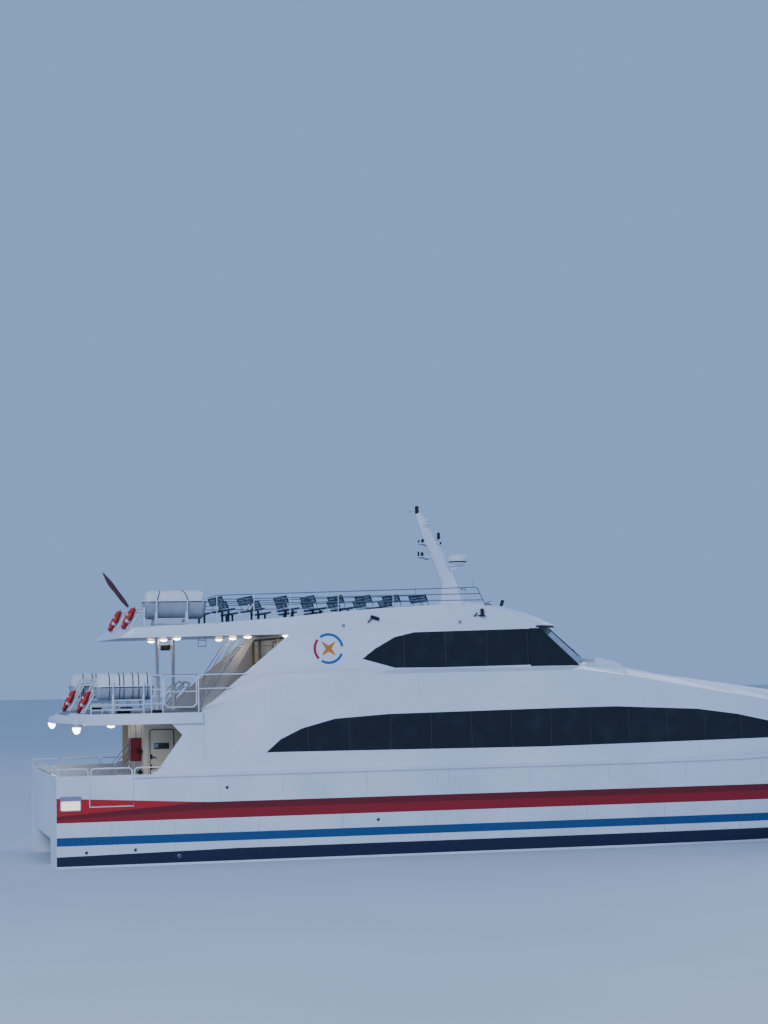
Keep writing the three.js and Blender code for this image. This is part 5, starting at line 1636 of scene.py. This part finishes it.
@dataclass
class BulkheadFittings:
    """Battens on the aft bulkheads, the fire cabinet's door and hydrant, and plates under the roof."""

    batten: float = 0.012
    house_face: float = 6.7495
    cabin_face: float = 4.9045
    screen_face: float = 2.5495
    house_battens: Row = (6.04, 5.78, 5.42, 5.0, 4.6)
    cabin_battens: Row = (3.55, 3.1, 2.5, 2.0)
    screen_battens: Row = (-2.45, -1.2, 0.1)
    hydrant: Two = (2.551, -2.6)

    def build(self) -> None:
        """Builds the fittings."""
        self.battens()
        self.fire_cabinet()
        self.roof_plates()

    def battens(self) -> None:
        """Builds the battens on both aft bulkheads, and a dark strip of painted shade along the head of the house's
        bulkhead.
        """
        piece = Piece("bulkhead_battens", (Finish.CREAM_LINE, Finish.RAIL, Finish.PANE_JOINT))
        for face, heights, spans in (
            (self.house_face, self.house_battens, ((-3.3, -1.31), (-0.33, 3.3))),
            (self.cabin_face, self.cabin_battens, ((-3.55, -2.8), (0.6, 1.64), (2.62, 3.55))),
        ):
            for z in heights:
                for low, high in spans:
                    piece.box((face - self.batten, low, z - 0.012), (face, high, z + 0.012), 0, 0.003)
        face = self.house_face
        # Painted shade: a dark strip under the ceiling along the house bulkhead's head stands in for the shadow line
        # there.
        piece.box((6.72, -3.3, 6.19), (face, 3.3, 6.245), 2, 0.003)
        for y, finish in ((1.54, 0), (-1.48, 1), (2.6, 0)):
            piece.box((6.67, y - 0.03, 4.171), (face, y + 0.03, 6.2), finish, 0.006)
        for y in self.screen_battens:
            piece.box((self.screen_face - self.batten, y - 0.03, 1.66), (self.screen_face, y + 0.03, 3.86), 0, 0.004)
        piece.done()

    def fire_cabinet(self) -> None:
        """Builds the door frame, hinges, hydrant and hose of the fire cabinet."""
        low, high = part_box("fire_cabinet")
        middle = (low + high) / 2
        piece = Piece("fire_cabinet_fittings", (Finish.CABINET, Finish.RUBBER, Finish.STEEL))
        for centre, half in (((middle.x, low.y - 0.004, middle.z), AHEAD * 0.12),
                             ((low.x - 0.004, middle.y, middle.z), ACROSS * 0.19)):
            piece.tube(rounded_loop(centre, half, UP * 0.29, 0.03), 0.008, 6, 0, closed=True)
        piece.box((low.x - 0.02, low.y + 0.03, 3.1), (low.x + 0.001, low.y + 0.06, 3.22), 2, 0.004)
        x, y = self.hydrant
        for z, size in ((3.08, 0.05), (2.5, 0.042)):
            stem = size * 0.6
            piece.lathe([(0, 0.045), (0.01, 0.045), (0.012, stem), (0.1, stem), (0.102, size), (0.15, size)],
                        (x, y, z), (-1, 0, 0), 16, 1)
            piece.lathe([(-0.09, 0.02), (-0.08, size * 0.8), (0.08, size * 0.8), (0.09, 0.02)],
                        (2.48, y, z), UP, 16, 1)
        hose = ((2.43, 2.44), (2.42, 2.3), (2.44, 2.1), (2.5, 1.95), (2.52, 1.8), (2.52, 1.655))
        piece.tube([(x, y, z) for x, z in hose], 0.02, 10, 1)
        piece.done()

    def roof_plates(self) -> None:
        """Builds the blank plate between the pillars and the small frame that hangs under the roof."""
        piece = Piece("roof_plates", (Finish.PANE_JOINT, Finish.HOOD))
        for s in (-1, 1):
            piece.box((3.46, s * 0.026, 5.93), (3.74, s * 0.034, 6.09), 0, 0.003)
        loop = rounded_loop((4.7, 0, 6.13), AHEAD * 0.12, UP * 0.09, 0.02, 3)
        piece.tube(loop, 0.01, 8, 1, closed=True)
        for x in (4.6, 4.8):
            piece.tube([(x, 0, 6.21), (x, 0, 6.288)], 0.008, 8, 1)
        piece.done()


@dataclass
class HouseEmblem:
    """A painted sign of a star in a broken ring, low relief, on each side of the upper house."""

    centre: Two = (7.77, 5.88)
    reach: float = 0.44
    rim: float = 0.075
    tip: float = 0.3
    waist: float = 0.09
    breaks: tuple[tuple[int, float, float], ...] = ((0, 0.15, 2.2), (1, 2.45, 3.9), (0, 4.15, 5.9))

    def build(self) -> None:
        """Builds both signs."""
        for side in Side:
            skin = Skin((f"house_side_{side.word}",))
            piece = Piece(f"emblem_{side.word}", (Finish.EMBLEM_COOL, Finish.EMBLEM_RED, Finish.EMBLEM_WARM))
            inward = Vector((0, -side.value * 0.005, 0))

            def on_skin(x: float, z: float) -> Vector:
                """A point of the sign on the house's side."""
                return skin.beside(self.centre[0] + x, self.centre[1] + z, side, 0.004)

            for finish, start, end in self.breaks:
                rows = [[on_skin(cos(a) * r, sin(a) * r) for r in (self.reach - self.rim, self.reach)]
                        for a in even(start, end, 18)]
                piece.panel(rows, inward, finish)
            for point in range(4):
                a = pi / 4 + point * pi / 2
                tip, left, right = (
                    on_skin(cos(a + turn) * reach, sin(a + turn) * reach)
                    for turn, reach in ((0, self.tip), (pi / 4, self.waist), (-pi / 4, self.waist))
                )
                piece.panel([[left, on_skin(0, 0)], [tip, right]], inward, 2)
            piece.done()


@dataclass
class HullFittings:
    """Small fittings on the hull sides: lit stern box, gate surround and outlets."""

    box_low: Two = (0.1, 1.56)
    box_high: Two = (0.66, 1.96)
    outlets: tuple[Two, ...] = ((0.8, 0.42), (2.14, 0.45), (3.36, 0.24), (4.7, 2.08), (9.0, 1.05))
    gate: Three = (0.912, 2.108, 1.665)

    def build(self) -> None:
        """Builds the fittings of both sides."""
        for side in Side:
            self.stern_box(side)
            self.gate_surround(side)
            self.sea_outlets(side)

    def plate(self, piece: Piece, low: Two, high: Two, side: Side, proud: float, finish: int) -> None:
        """Adds a shallow block on the hull's flat side.

        Args:
            piece: The piece that gets it.
            low: Its lowest x and z.
            high: Its highest x and z.
            side: The side of the ferry.
            proud: How far it stands out.
            finish: Which of the piece's finishes it takes.
        """
        inner, outer = side.value * (HULL_FACE - 0.004), side.value * (HULL_FACE + proud)
        piece.box((low[0], inner, low[1]), (high[0], outer, high[1]), finish, 0.004)

    def stern_box(self, side: Side) -> None:
        """Builds the hooded lamp box near the transom."""
        x0, z0 = self.box_low
        x1, z1 = self.box_high
        piece = Piece(f"stern_lamp_box_{side.word}", (Finish.BOX_LAMP, Finish.HOOD, Finish.RAIL))
        self.plate(piece, (x0 + 0.03, z0 + 0.03), (x1 - 0.03, z1 - 0.1), side, 0.008, 0)
        for low, high in (((x0, z0), (x1, z0 + 0.03)), ((x0, z0), (x0 + 0.03, z1 - 0.1)),
                          ((x1 - 0.03, z0), (x1, z1 - 0.1))):
            self.plate(piece, low, high, side, 0.03, 2)
        hood = [(-0.004, 0), (0.05, -0.05), (0.06, -0.13), (-0.004, -0.13)]
        piece.faces([[Vector((x, side.value * (HULL_FACE + out), z1 + up)) for out, up in hood]
                     for x in (x0 - 0.01, x1 + 0.01)], 1)
        piece.done()

    def gate_surround(self, side: Side) -> None:
        """Builds the white lip round the bulwark gate's lower corners."""
        x0, x1, z0 = self.gate
        piece = Piece(f"gate_lip_{side.word}", (Finish.RAIL,))
        self.plate(piece, (x0 - 0.022, z0 - 0.022), (x0 - 0.002, 1.93), side, 0.006, 0)
        self.plate(piece, (x0 - 0.022, z0 - 0.026), (x1, z0 - 0.004), side, 0.006, 0)
        piece.done()

    def sea_outlets(self, side: Side) -> None:
        """Builds the flanged outlets through the side."""
        piece = Piece(f"sea_outlets_{side.word}", (Finish.STEEL, Finish.RUBBER))
        skin = Skin((f"demihull_{side.word}",))
        for x, z in self.outlets:
            centre = skin.beside(x, z, side)
            for flange, finish in (([(-0.004, 0.05), (0.01, 0.05), (0.014, 0.042), (0.014, 0.03)], 0),
                                   ([(0.004, 0.03), (0.0145, 0.03)], 1)):
                piece.lathe(flange, centre, (0, side.value, 0), 18, finish)
        piece.done()


@dataclass
class MastFittings:
    """Lanterns, aerials and the radar's cover on the mast, and the whips on the roof's front corners.

    Each lantern has its x, the height of its foot, its own height and its radius.
    """

    lanterns: tuple[Four, ...] = (
        (11.36, 9.962, 0.25, 0.062), (11.52, 9.09, 0.11, 0.045), (11.4, 9.09, 0.07, 0.03), (11.5, 8.68, 0.12, 0.047),
        (11.385, 8.68, 0.14, 0.03), (12.03, 9.2, 0.2, 0.052), (12.09, 9.04, 0.07, 0.03),
    )

    def build(self) -> None:
        """Builds the fittings."""
        self.mast_lanterns()
        self.aerials()
        self.radar()

    def mast_lanterns(self) -> None:
        """Builds the lanterns: a ribbed body with a cap and a base."""
        piece = Piece("mast_lanterns", (Finish.RUBBER, Finish.HOOD))
        for x, z, height, radius in self.lanterns:
            rings = [(0, radius * 0.7), (height * 0.08, radius), (height * 0.3, radius)]
            for k in range(3):
                share = 0.34 + 0.14 * k
                rib = ((share, 0.86), (share + 0.05, 0.92), (share + 0.1, 0.86))
                rings += [(height * up, radius * wide) for up, wide in rib]
            rings += [(height * 0.78, radius), (height * 0.92, radius * 0.9), (height, radius * 0.3)]
            piece.lathe(rings, (x, 0, z), UP, 18, 0)
        piece.tube([(11.9, 0, 9.16), (12.03, 0, 9.17), (12.03, 0, 9.21)], 0.014, 8, 1)
        piece.tube([(11.93, 0, 9.03), (12.1, 0, 9.035)], 0.01, 8, 1)
        for z in (9.05, 8.64):
            piece.tube([(11.7, 0, z - 0.06), (11.6, 0, z - 0.05), (11.5, 0, z), (11.38, 0, z + 0.01)], 0.026, 10, 1)
        piece.box((11.54, -0.11, 9.6), (11.78, 0.11, 9.612), 1, 0.003)
        piece.done()

    def aerials(self) -> None:
        """Builds the positioning dome, the wind vane's arm and the two whips."""
        piece = Piece("mast_aerials", (Finish.RAIL, Finish.HOOD))
        piece.tube([(11.69, 0, 9.59), (11.69, 0, 9.76)], 0.012, 8, 0)
        dome = [(0, 0.014), (0.01, 0.045), (0.05, 0.05), (0.09, 0.03), (0.1, 0.004)]
        piece.lathe(dome, (11.69, 0, 9.75), UP, 18, 0)
        piece.tube([(11.36, 0, 10.03), (11.24, 0, 10.035), (11.12, 0, 10.03)], 0.006, 6, 1)
        piece.lathe([(0, 0.004), (0.01, 0.02), (0.03, 0.02), (0.035, 0.004)], (11.12, 0, 10.02), UP, 12, 1)
        for y in (-3.3, 3.3):
            piece.tube([(12.13, y, 7.58), (12.13, y, 7.66), (12.14, y, 7.83)], 0.009, 8, 1)
        piece.done()

    def radar(self) -> None:
        """Builds the radar's cover over its CAD solid, with the pan and gusset below."""
        low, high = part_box("radome")
        centre = (low + high) / 2
        place = (centre.x, centre.y, low.z)
        piece = Piece("radar_cover", (Finish.RAFT_TOP, Finish.RUBBER, Finish.RAIL))
        piece.lathe([(0, 0.2), (0.05, 0.26), (0.07, 0.262)], place, UP, 40, 2)
        piece.lathe([(0.065, 0.268), (0.1, 0.268)], place, UP, 40, 1)
        piece.lathe([(0.1, 0.27), (0.104, 0.292), (0.14, 0.298), (0.22, 0.288), (0.27, 0.255), (0.3, 0.19),
                     (0.312, 0.1), (0.315, 0.002)], place, UP, 40, 0)
        piece.done(replaces=("radome",))
        gusset = Piece("radar_gusset", (Finish.RAIL,))
        ring = [(12.28, 8.3695), (12.8, 8.3695), (12.42, 8.22), (12.36, 8.26)]
        gusset.faces([[Vector((x, y, z)) for x, z in ring] for y in (-0.05, 0.05)])
        gusset.done()


@dataclass
class RoofFittings:
    """Side lights, floodlights, dark strips of painted shade under the visor's corners, vents, searchlight, horn and
    roof hatches.
    """

    # The points of the dark strip of painted shade under each corner of the visor.
    visor_shade_strip: tuple[Three, ...] = (
        (13.98, 3.4, 6.43), (14.15, 3.39, 6.43), (14.45, 3.02, 6.435), (14.75, 2.63, 6.44))
    vents: tuple[Two, ...] = ((8.22, 6.53), (11.68, 6.59))
    hatches: tuple[Two, ...] = ((12.6, 1.6), (12.6, -1.6))

    def build(self) -> None:
        """Builds the fittings of both sides and those on the centreline."""
        for side in Side:
            self.side_fittings(side)
        self.centre_fittings()

    def side_fittings(self, side: Side) -> None:
        """Builds the fittings on one side of the roof.

        Args:
            side: The side of the ferry.
        """
        s = side.value
        skin = Skin(("roof", f"house_side_{side.word}"))
        piece = Piece(f"roof_side_fittings_{side.word}", (Finish.RUBBER, Finish.HOOD, Finish.RAIL))
        board = skin.beside(12.35, 6.83, side)
        piece.box((12.22, board.y - s * 0.02, 6.74), (12.46, board.y + s * 0.015, 6.78), 0, 0.004)
        piece.lathe([(0, 0.06), (0.02, 0.062), (0.03, 0.05), (0.16, 0.05), (0.17, 0.062), (0.2, 0.03)],
                    (12.35, board.y + s * 0.05, 6.77), UP, 18, 0)
        piece.box((12.27, board.y - s * 0.02, 6.745), (12.43, board.y + s * 0.11, 6.775), 0, 0.004)
        lamp = skin.beside(9.1, 6.7, side)
        turn = (Matrix.Translation(lamp) @ Matrix.Rotation(radians(18), 4, "Y")
                @ Matrix.Rotation(s * radians(35), 4, "X") @ Matrix.Translation(-lamp))
        piece.box(lamp + Vector((-0.1, s * 0.03, -0.03)), lamp + Vector((0.16, s * 0.1, 0.055)), 0, 0.012, turn)
        arm = ((-0.16, -0.02, -0.12), (-0.14, 0.05, -0.06), (-0.06, 0.06, 0.01))
        piece.tube([lamp + Vector((x, s * y, z)) for x, y, z in arm], 0.017, 8, 0)
        stay = skin.beside(12.12, 6.75, side)
        piece.tube([stay, stay + Vector((0.02, s * 0.05, 0.03)), stay + Vector((0.07, s * 0.07, 0.1))], 0.02, 8, 0)
        # Painted shade: a thick dark strip under the visor's corner stands in for the shade there.
        piece.tube([(x, s * y, z) for x, y, z in self.visor_shade_strip], 0.034, 8, 0)
        for x, z in self.vents:
            piece.lathe([(-0.01, 0.05), (0.018, 0.05), (0.024, 0.035), (0.02, 0.03), (0.02, 0.002)],
                        skin.beside(x, z, side), (0, s, 0), 18, 1)
        piece.done()

    def centre_fittings(self) -> None:
        """Builds the searchlight, the horn, the lamp on the mast's foot and the hatches."""
        skin = Skin(("roof",))
        piece = Piece("roof_centre_fittings", (Finish.RUBBER, Finish.STEEL, Finish.RAIL, Finish.GLASS))
        foot = skin.above(13.95, 0.0)
        piece.tube([foot - UP * 0.02, foot + Vector((0.02, 0, 0.1))], 0.022, 10, 0)
        piece.lathe([(-0.1, 0.03), (-0.08, 0.045), (0.08, 0.055), (0.11, 0.05)], foot + Vector((0.05, 0, 0.17)),
                    (0.35, 0, 0.94), 20, 0)
        horn = skin.above(13.5, 0.0)
        for y in (-0.08, 0.08):
            piece.lathe([(0, 0.02), (0.12, 0.025), (0.24, 0.045), (0.3, 0.075)], horn + Vector((-0.15, y, 0.07)),
                        (1, 0, 0), 16, 1)
            piece.tube([horn + Vector((-0.1, y, -0.02)), horn + Vector((-0.1, y, 0.07))], 0.012, 8, 1)
        mast = Vector((12.72, 0, 7.66))
        piece.lathe([(0, 0.03), (0.1, 0.035), (0.16, 0.06)], mast, (1, 0, 0), 16, 1)
        for x, y in self.hatches:
            spot = skin.above(x, y)
            for rise, half, corner, deep, finish in ((0.03, 0.3, 0.06, 0.09, 2), (0.034, 0.24, 0.05, 0.01, 3)):
                loop = rounded_loop(spot + UP * rise, AHEAD * half, ACROSS * half, corner)
                piece.faces([[p - UP * deep for p in loop], loop], finish)
        piece.done()


@dataclass
class DeckFittings:
    """Mooring bitts, windlass, stair grips, grab rails, dark low blocks under the deck rafts and windscreen wipers.

    Each stair has its foot and head along x, its lower and upper deck's heights and its two sides.
    """

    stairs: tuple[tuple[str, Row], ...] = (
        ("main_stair", (2.05, 4.05, 1.645, 4.17, 0.62, 1.48)), ("sundeck_stair", (4.75, 6.4, 4.17, 6.56, 0.35, 1.15)))
    tread_count: int = 9
    wiper_places: Row = (-1.24, 0.0, 1.24)

    def build(self) -> None:
        """Builds the fittings."""
        self.bow()
        self.stern()
        for name, sizes in self.stairs:
            self.treads(name, *sizes)
        self.stair_head()
        self.wipers()

    def bitts(self, piece: Piece, place: Vector, along: Vector) -> None:
        """Adds a pair of mooring bitts on a plate.

        Args:
            piece: The piece that gets them.
            place: The plate's middle on the deck.
            along: The way from the middle to one bitt.
        """
        across = Vector((-along.y, along.x, 0)).normalized() * 0.1
        plate = rounded_loop(place + UP * 0.012, along * 1.6, across, 0.04)
        piece.faces([[p - UP * 0.014 for p in plate], plate], 0)
        for sign in (-1, 1):
            piece.lathe([(0.005, 0.075), (0.02, 0.06), (0.22, 0.055), (0.24, 0.075), (0.26, 0.07), (0.265, 0.01)],
                        place + along * sign, UP, 20, 0)
        piece.tube([place + UP * 0.15 + along * reach for reach in (-1.35, 1.35)], 0.018, 10, 0)

    def bow(self) -> None:
        """Builds the bow deck's fittings."""
        skin = Skin(("bridge_deck", "demihull_starboard", "demihull_port"))
        piece = Piece("bow_fittings", (Finish.ZINC, Finish.RUBBER, Finish.RAIL))
        for s in (-1, 1):
            self.bitts(piece, skin.above(23.5, s * 1.9), Vector((0.2, 0, 0)))
        base = skin.above(23.7, 0.0)
        piece.box(base + Vector((-0.32, -0.35, -0.005)), base + Vector((0.32, 0.35, 0.1)), 2, 0.02)
        piece.box(base + Vector((-0.16, -0.14, 0.09)), base + Vector((0.16, 0.14, 0.42)), 2, 0.04)
        drum = [(0.14, 0.15), (0.18, 0.15), (0.22, 0.08), (0.31, 0.09), (0.34, 0.15), (0.36, 0.12)]
        piece.lathe([(-place, radius) for place, radius in reversed(drum)] + drum, base + UP * 0.3, ACROSS, 24, 0)
        for y in (-0.06, 0.02):
            piece.box(base + Vector((0.5, y, -0.005)), base + Vector((1.2, y + 0.04, 0.08)), 0, 0.008)
        piece.done()

    def stern(self) -> None:
        """Builds the aft deck's bitts."""
        skin = Skin(("bridge_deck",))
        piece = Piece("stern_fittings", (Finish.ZINC, Finish.RUBBER))
        for s in (-1, 1):
            self.bitts(piece, skin.above(0.35, s * 1.5), Vector((0, 0.2, 0)))
        piece.done()

    def treads(self, name: str, foot_x: float, head_x: float, foot_z: float, head_z: float, from_y: float,
               to_y: float) -> None:
        """Builds the grip strips on one stair's treads.

        Args:
            name: The stair's node.
            foot_x: Where the stair starts, along x.
            head_x: Where it ends.
            foot_z: The lower deck's height.
            head_z: The upper deck's height.
            from_y: One side of the stair.
            to_y: The other side.
        """
        piece = Piece(f"{name}_grips", (Finish.RUBBER,))
        steps = self.tread_count + 1
        for x, z in list(zip(even(foot_x, head_x, steps), even(foot_z, head_z, steps)))[1:-1]:
            for step in range(3):
                start = x - 0.02 + step * 0.06
                piece.box((start, from_y + 0.06, z - 0.001), (start + 0.03, to_y - 0.06, z + 0.004), 0, 0.001)
        piece.done()

    def stair_head(self) -> None:
        """Builds the sloping grab rails at the head of the main stair and the dark low blocks on the deck under the
        deck rafts.
        """
        skin = Skin(("upper_deck",))
        piece = Piece("stair_head_rails", (Finish.RAIL, Finish.RUBBER))
        for y in (0.5, 1.6):
            foot, end = skin.above(3.52, y), skin.above(3.8, y)
            bends = ((0, -0.01), (0.66, 0.79), (0.72, 0.83), (0.86, 0.78), (0.84, 0.69))
            piece.tube([foot + Vector((x, 0, z)) for x, z in bends] + [end - UP * 0.01], 0.027, 10, 0)
        for y in (-3.32, 3.32):
            for x in (1.94, 2.86):
                dark_block = skin.above(x, y)
                piece.box(dark_block - Vector((0.18, 0.13, 0.005)), dark_block + Vector((0.18, 0.13, 0.075)), 1, 0.03)
        piece.done()

    def wipers(self) -> None:
        """Builds the wipers of the three middle panes of the windscreen."""
        piece = Piece("windscreen_wipers", (Finish.RUBBER, Finish.STEEL))
        on_screen = Windscreen().at
        for y in self.wiper_places:
            pivot, tip = on_screen(y, 5.4, 0.05), on_screen(y - 0.35, 5.95, 0.065)
            piece.tube([pivot, pivot.lerp(tip, 0.5) + Vector((0.012, 0, 0.014)), tip], 0.01, 8, 0)
            hub = pivot - Vector((0.013, 0, 0.015))
            piece.lathe([(0, 0.03), (0.03, 0.03), (0.035, 0.02)], hub, (0.66, 0, 0.75), 14, 1)
            blade = [on_screen(y - 0.35 + d * 0.2, 5.95 + d * 0.28, 0.044) for d in even(-1, 1, 4)]
            piece.tube(blade, 0.011, 6, 0)
        piece.done()


@dataclass
class FurledFlag:
    """The raked staff and the flag furled round it, from one share of the staff's length to another."""

    foot: Three = (3.02, 0.0, 6.56)
    top: Three = (1.78, 0.0, 8.235)
    pole: float = 0.015
    low: float = 0.4
    high: float = 0.985
    pleats: int = 6
    steps: int = 40
    wrap: float = 0.96

    def build(self) -> None:
        """Builds the staff with its truck and the furled sheet."""
        start, end = Vector(self.foot), Vector(self.top)
        along = (end - start).normalized()
        staff = Piece("flag_pole", (Finish.RAIL, Finish.STEEL))
        staff.tube([start, end], self.pole, 14, 0)
        staff.lathe([(0, 0.016), (0.01, 0.03), (0.03, 0.03), (0.04, 0.012), (0.042, 0.001)], end - along * 0.02,
                    along, 16, 1)
        staff.done(replaces=("flagstaff",))
        up = ACROSS.cross(along).normalized()
        piece = Piece("furled_flag", (Finish.FLAG,))
        rows = []
        for share in even(0, 1, self.steps):
            centre = start.lerp(end, self.low + (self.high - self.low) * share)
            swell = sin(pi * min(1.0, 0.06 + share * 0.94)) ** 1.1
            fullness = 0.15 + swell * (0.8 + 0.2 * sin(9 * share + 0.6))
            row = []
            for a in even(0, 2 * pi * self.wrap, self.pleats * 12):
                deep = 0.5 + 0.5 * cos(self.pleats * a + 1.3 * sin(5 * share))
                twist = a + 0.5 * sin(3.1 * share)
                sag = 0.02 * fullness * (1 - sin(twist))
                reach = self.pole + 0.004 + (0.012 + 0.036 * deep) * fullness + sag
                row.append(centre + (ACROSS * cos(twist) + up * sin(twist)) * reach)
            rows.append(row)
        piece.faces(rows, 0, closed_ring=False, capped=False)
        flag = piece.done(angle=180)


@dataclass
class Studio:
    """Plain floor at the waterline, soft light and even surroundings."""

    floor_half: float = 400.0
    sky: str = "#86A8E0"
    aim: Three = (12, 0, 3)

    def build(self) -> None:
        """Builds the floor, the sky and the lights."""
        sheet = Sheet.new("studio_floor_matt")
        sheet.feed(base_color=sheet.patched(6000, 2, (0.3, 0.7), "#C9CDD3", "#CFD3D9"))
        material = sheet.settle(roughness=0.6)
        data = bpy.data.meshes.new("floor")
        reach = self.floor_half
        data.from_pydata([(x * reach, y * reach, 0) for x, y in CORNERS], [], [(0, 1, 2, 3)])
        data.materials.append(material)
        floor = add_object("floor", data)
        world = bpy.data.worlds.new("studio")
        bpy.context.scene.world = world
        world.use_nodes = True
        background = world.node_tree.nodes["Background"]
        background.inputs[0].default_value = linear(self.sky)
        background.inputs[1].default_value = 1.0
        self.soft_box("key", (-30, -60, 45), 38, 30000, "#E2EAFF")
        self.soft_box("fill", (60, 50, 40), 40, 12000, "#D8E4FF")

    def soft_box(self, name: str, place: Point, size: float, watts: float, colour: str) -> None:
        """Adds one large soft light aimed at the ferry.

        Args:
            name: The light's name.
            place: Where it stands.
            size: Its width.
            watts: Its power.
            colour: Its colour.
        """
        light = bpy.data.lights.new(name, "AREA")
        light.size = size
        light.energy = watts
        light.color = linear(colour)[:3]
        holder = add_object(name, light)
        holder.location = place
        holder.rotation_euler = (Vector(self.aim) - Vector(place)).to_track_quat("-Z", "Y").to_euler()


@dataclass
class PhotographCamera:
    """The camera at the photograph's place and angle, level with a person on the quay."""

    place: Three = (-5.731, -64.408, 5.3)
    turn: float = radians(14.0)
    roll: float = 0.018
    focal_px: float = 2190.0
    image: tuple[int, int] = (768, 1024)
    horizon_px: float = 668.0
    sensor: float = 36.0

    def build(self) -> None:
        """Builds the camera and makes it the scene's own."""
        pitch = atan((self.horizon_px - self.image[1] / 2) / self.focal_px)
        level = Vector((cos(self.turn), -sin(self.turn), 0))
        ahead = Vector((sin(self.turn), cos(self.turn), 0))
        forward = ahead * cos(pitch) + UP * sin(pitch)
        upright = -ahead * sin(pitch) + UP * cos(pitch)
        right = level * cos(self.roll) - upright * sin(self.roll)
        up = upright * cos(self.roll) + level * sin(self.roll)
        data = bpy.data.cameras.new("photograph")
        data.sensor_fit = "VERTICAL"
        data.sensor_height = self.sensor
        data.sensor_width = self.sensor
        data.lens = self.focal_px / self.image[1] * self.sensor
        data.clip_end = 2000
        camera = add_object("photograph", data)
        turned = Matrix((right, up, -forward)).transposed().to_4x4()
        camera.matrix_world = Matrix.Translation(self.place) @ turned
        bpy.context.scene.camera = camera


def write_sizes() -> None:
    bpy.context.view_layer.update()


def main() -> None:
    """Builds the sub-assemblies in order and reports each piece."""
    logging.basicConfig(level=logging.INFO, format="%(name)s: %(message)s")
    deck_rack = BuoyRack("deck_buoy_rack", (0.87, 4.171), 1.07, (1.05, 1.75, 2.25, 2.88), 2.88, "upper_deck",
                         ("buoy_rack_deck",))
    roof_rack = BuoyRack("roof_buoy_rack", (2.233, 6.54), 0.63, (0.7, 1.35, 1.85, 2.6), 3.3, "roof")
    for part in (
        PhotographCamera(), Studio(), CadFinishes(), WindowTrim(), *map(LifeRaft, RaftPlace), Lifebuoys(),
        SundeckBenches(), SundeckRail(), deck_rack, roof_rack, DeckLamps(), DoorFittings(), BulkheadFittings(),
        HouseEmblem(), HullFittings(), MastFittings(), RoofFittings(), DeckFittings(), FurledFlag(),
    ):
        part.build()
        LOG.info("%s built", type(part).__name__)
    write_sizes()


if __name__ == "__main__":
    main()
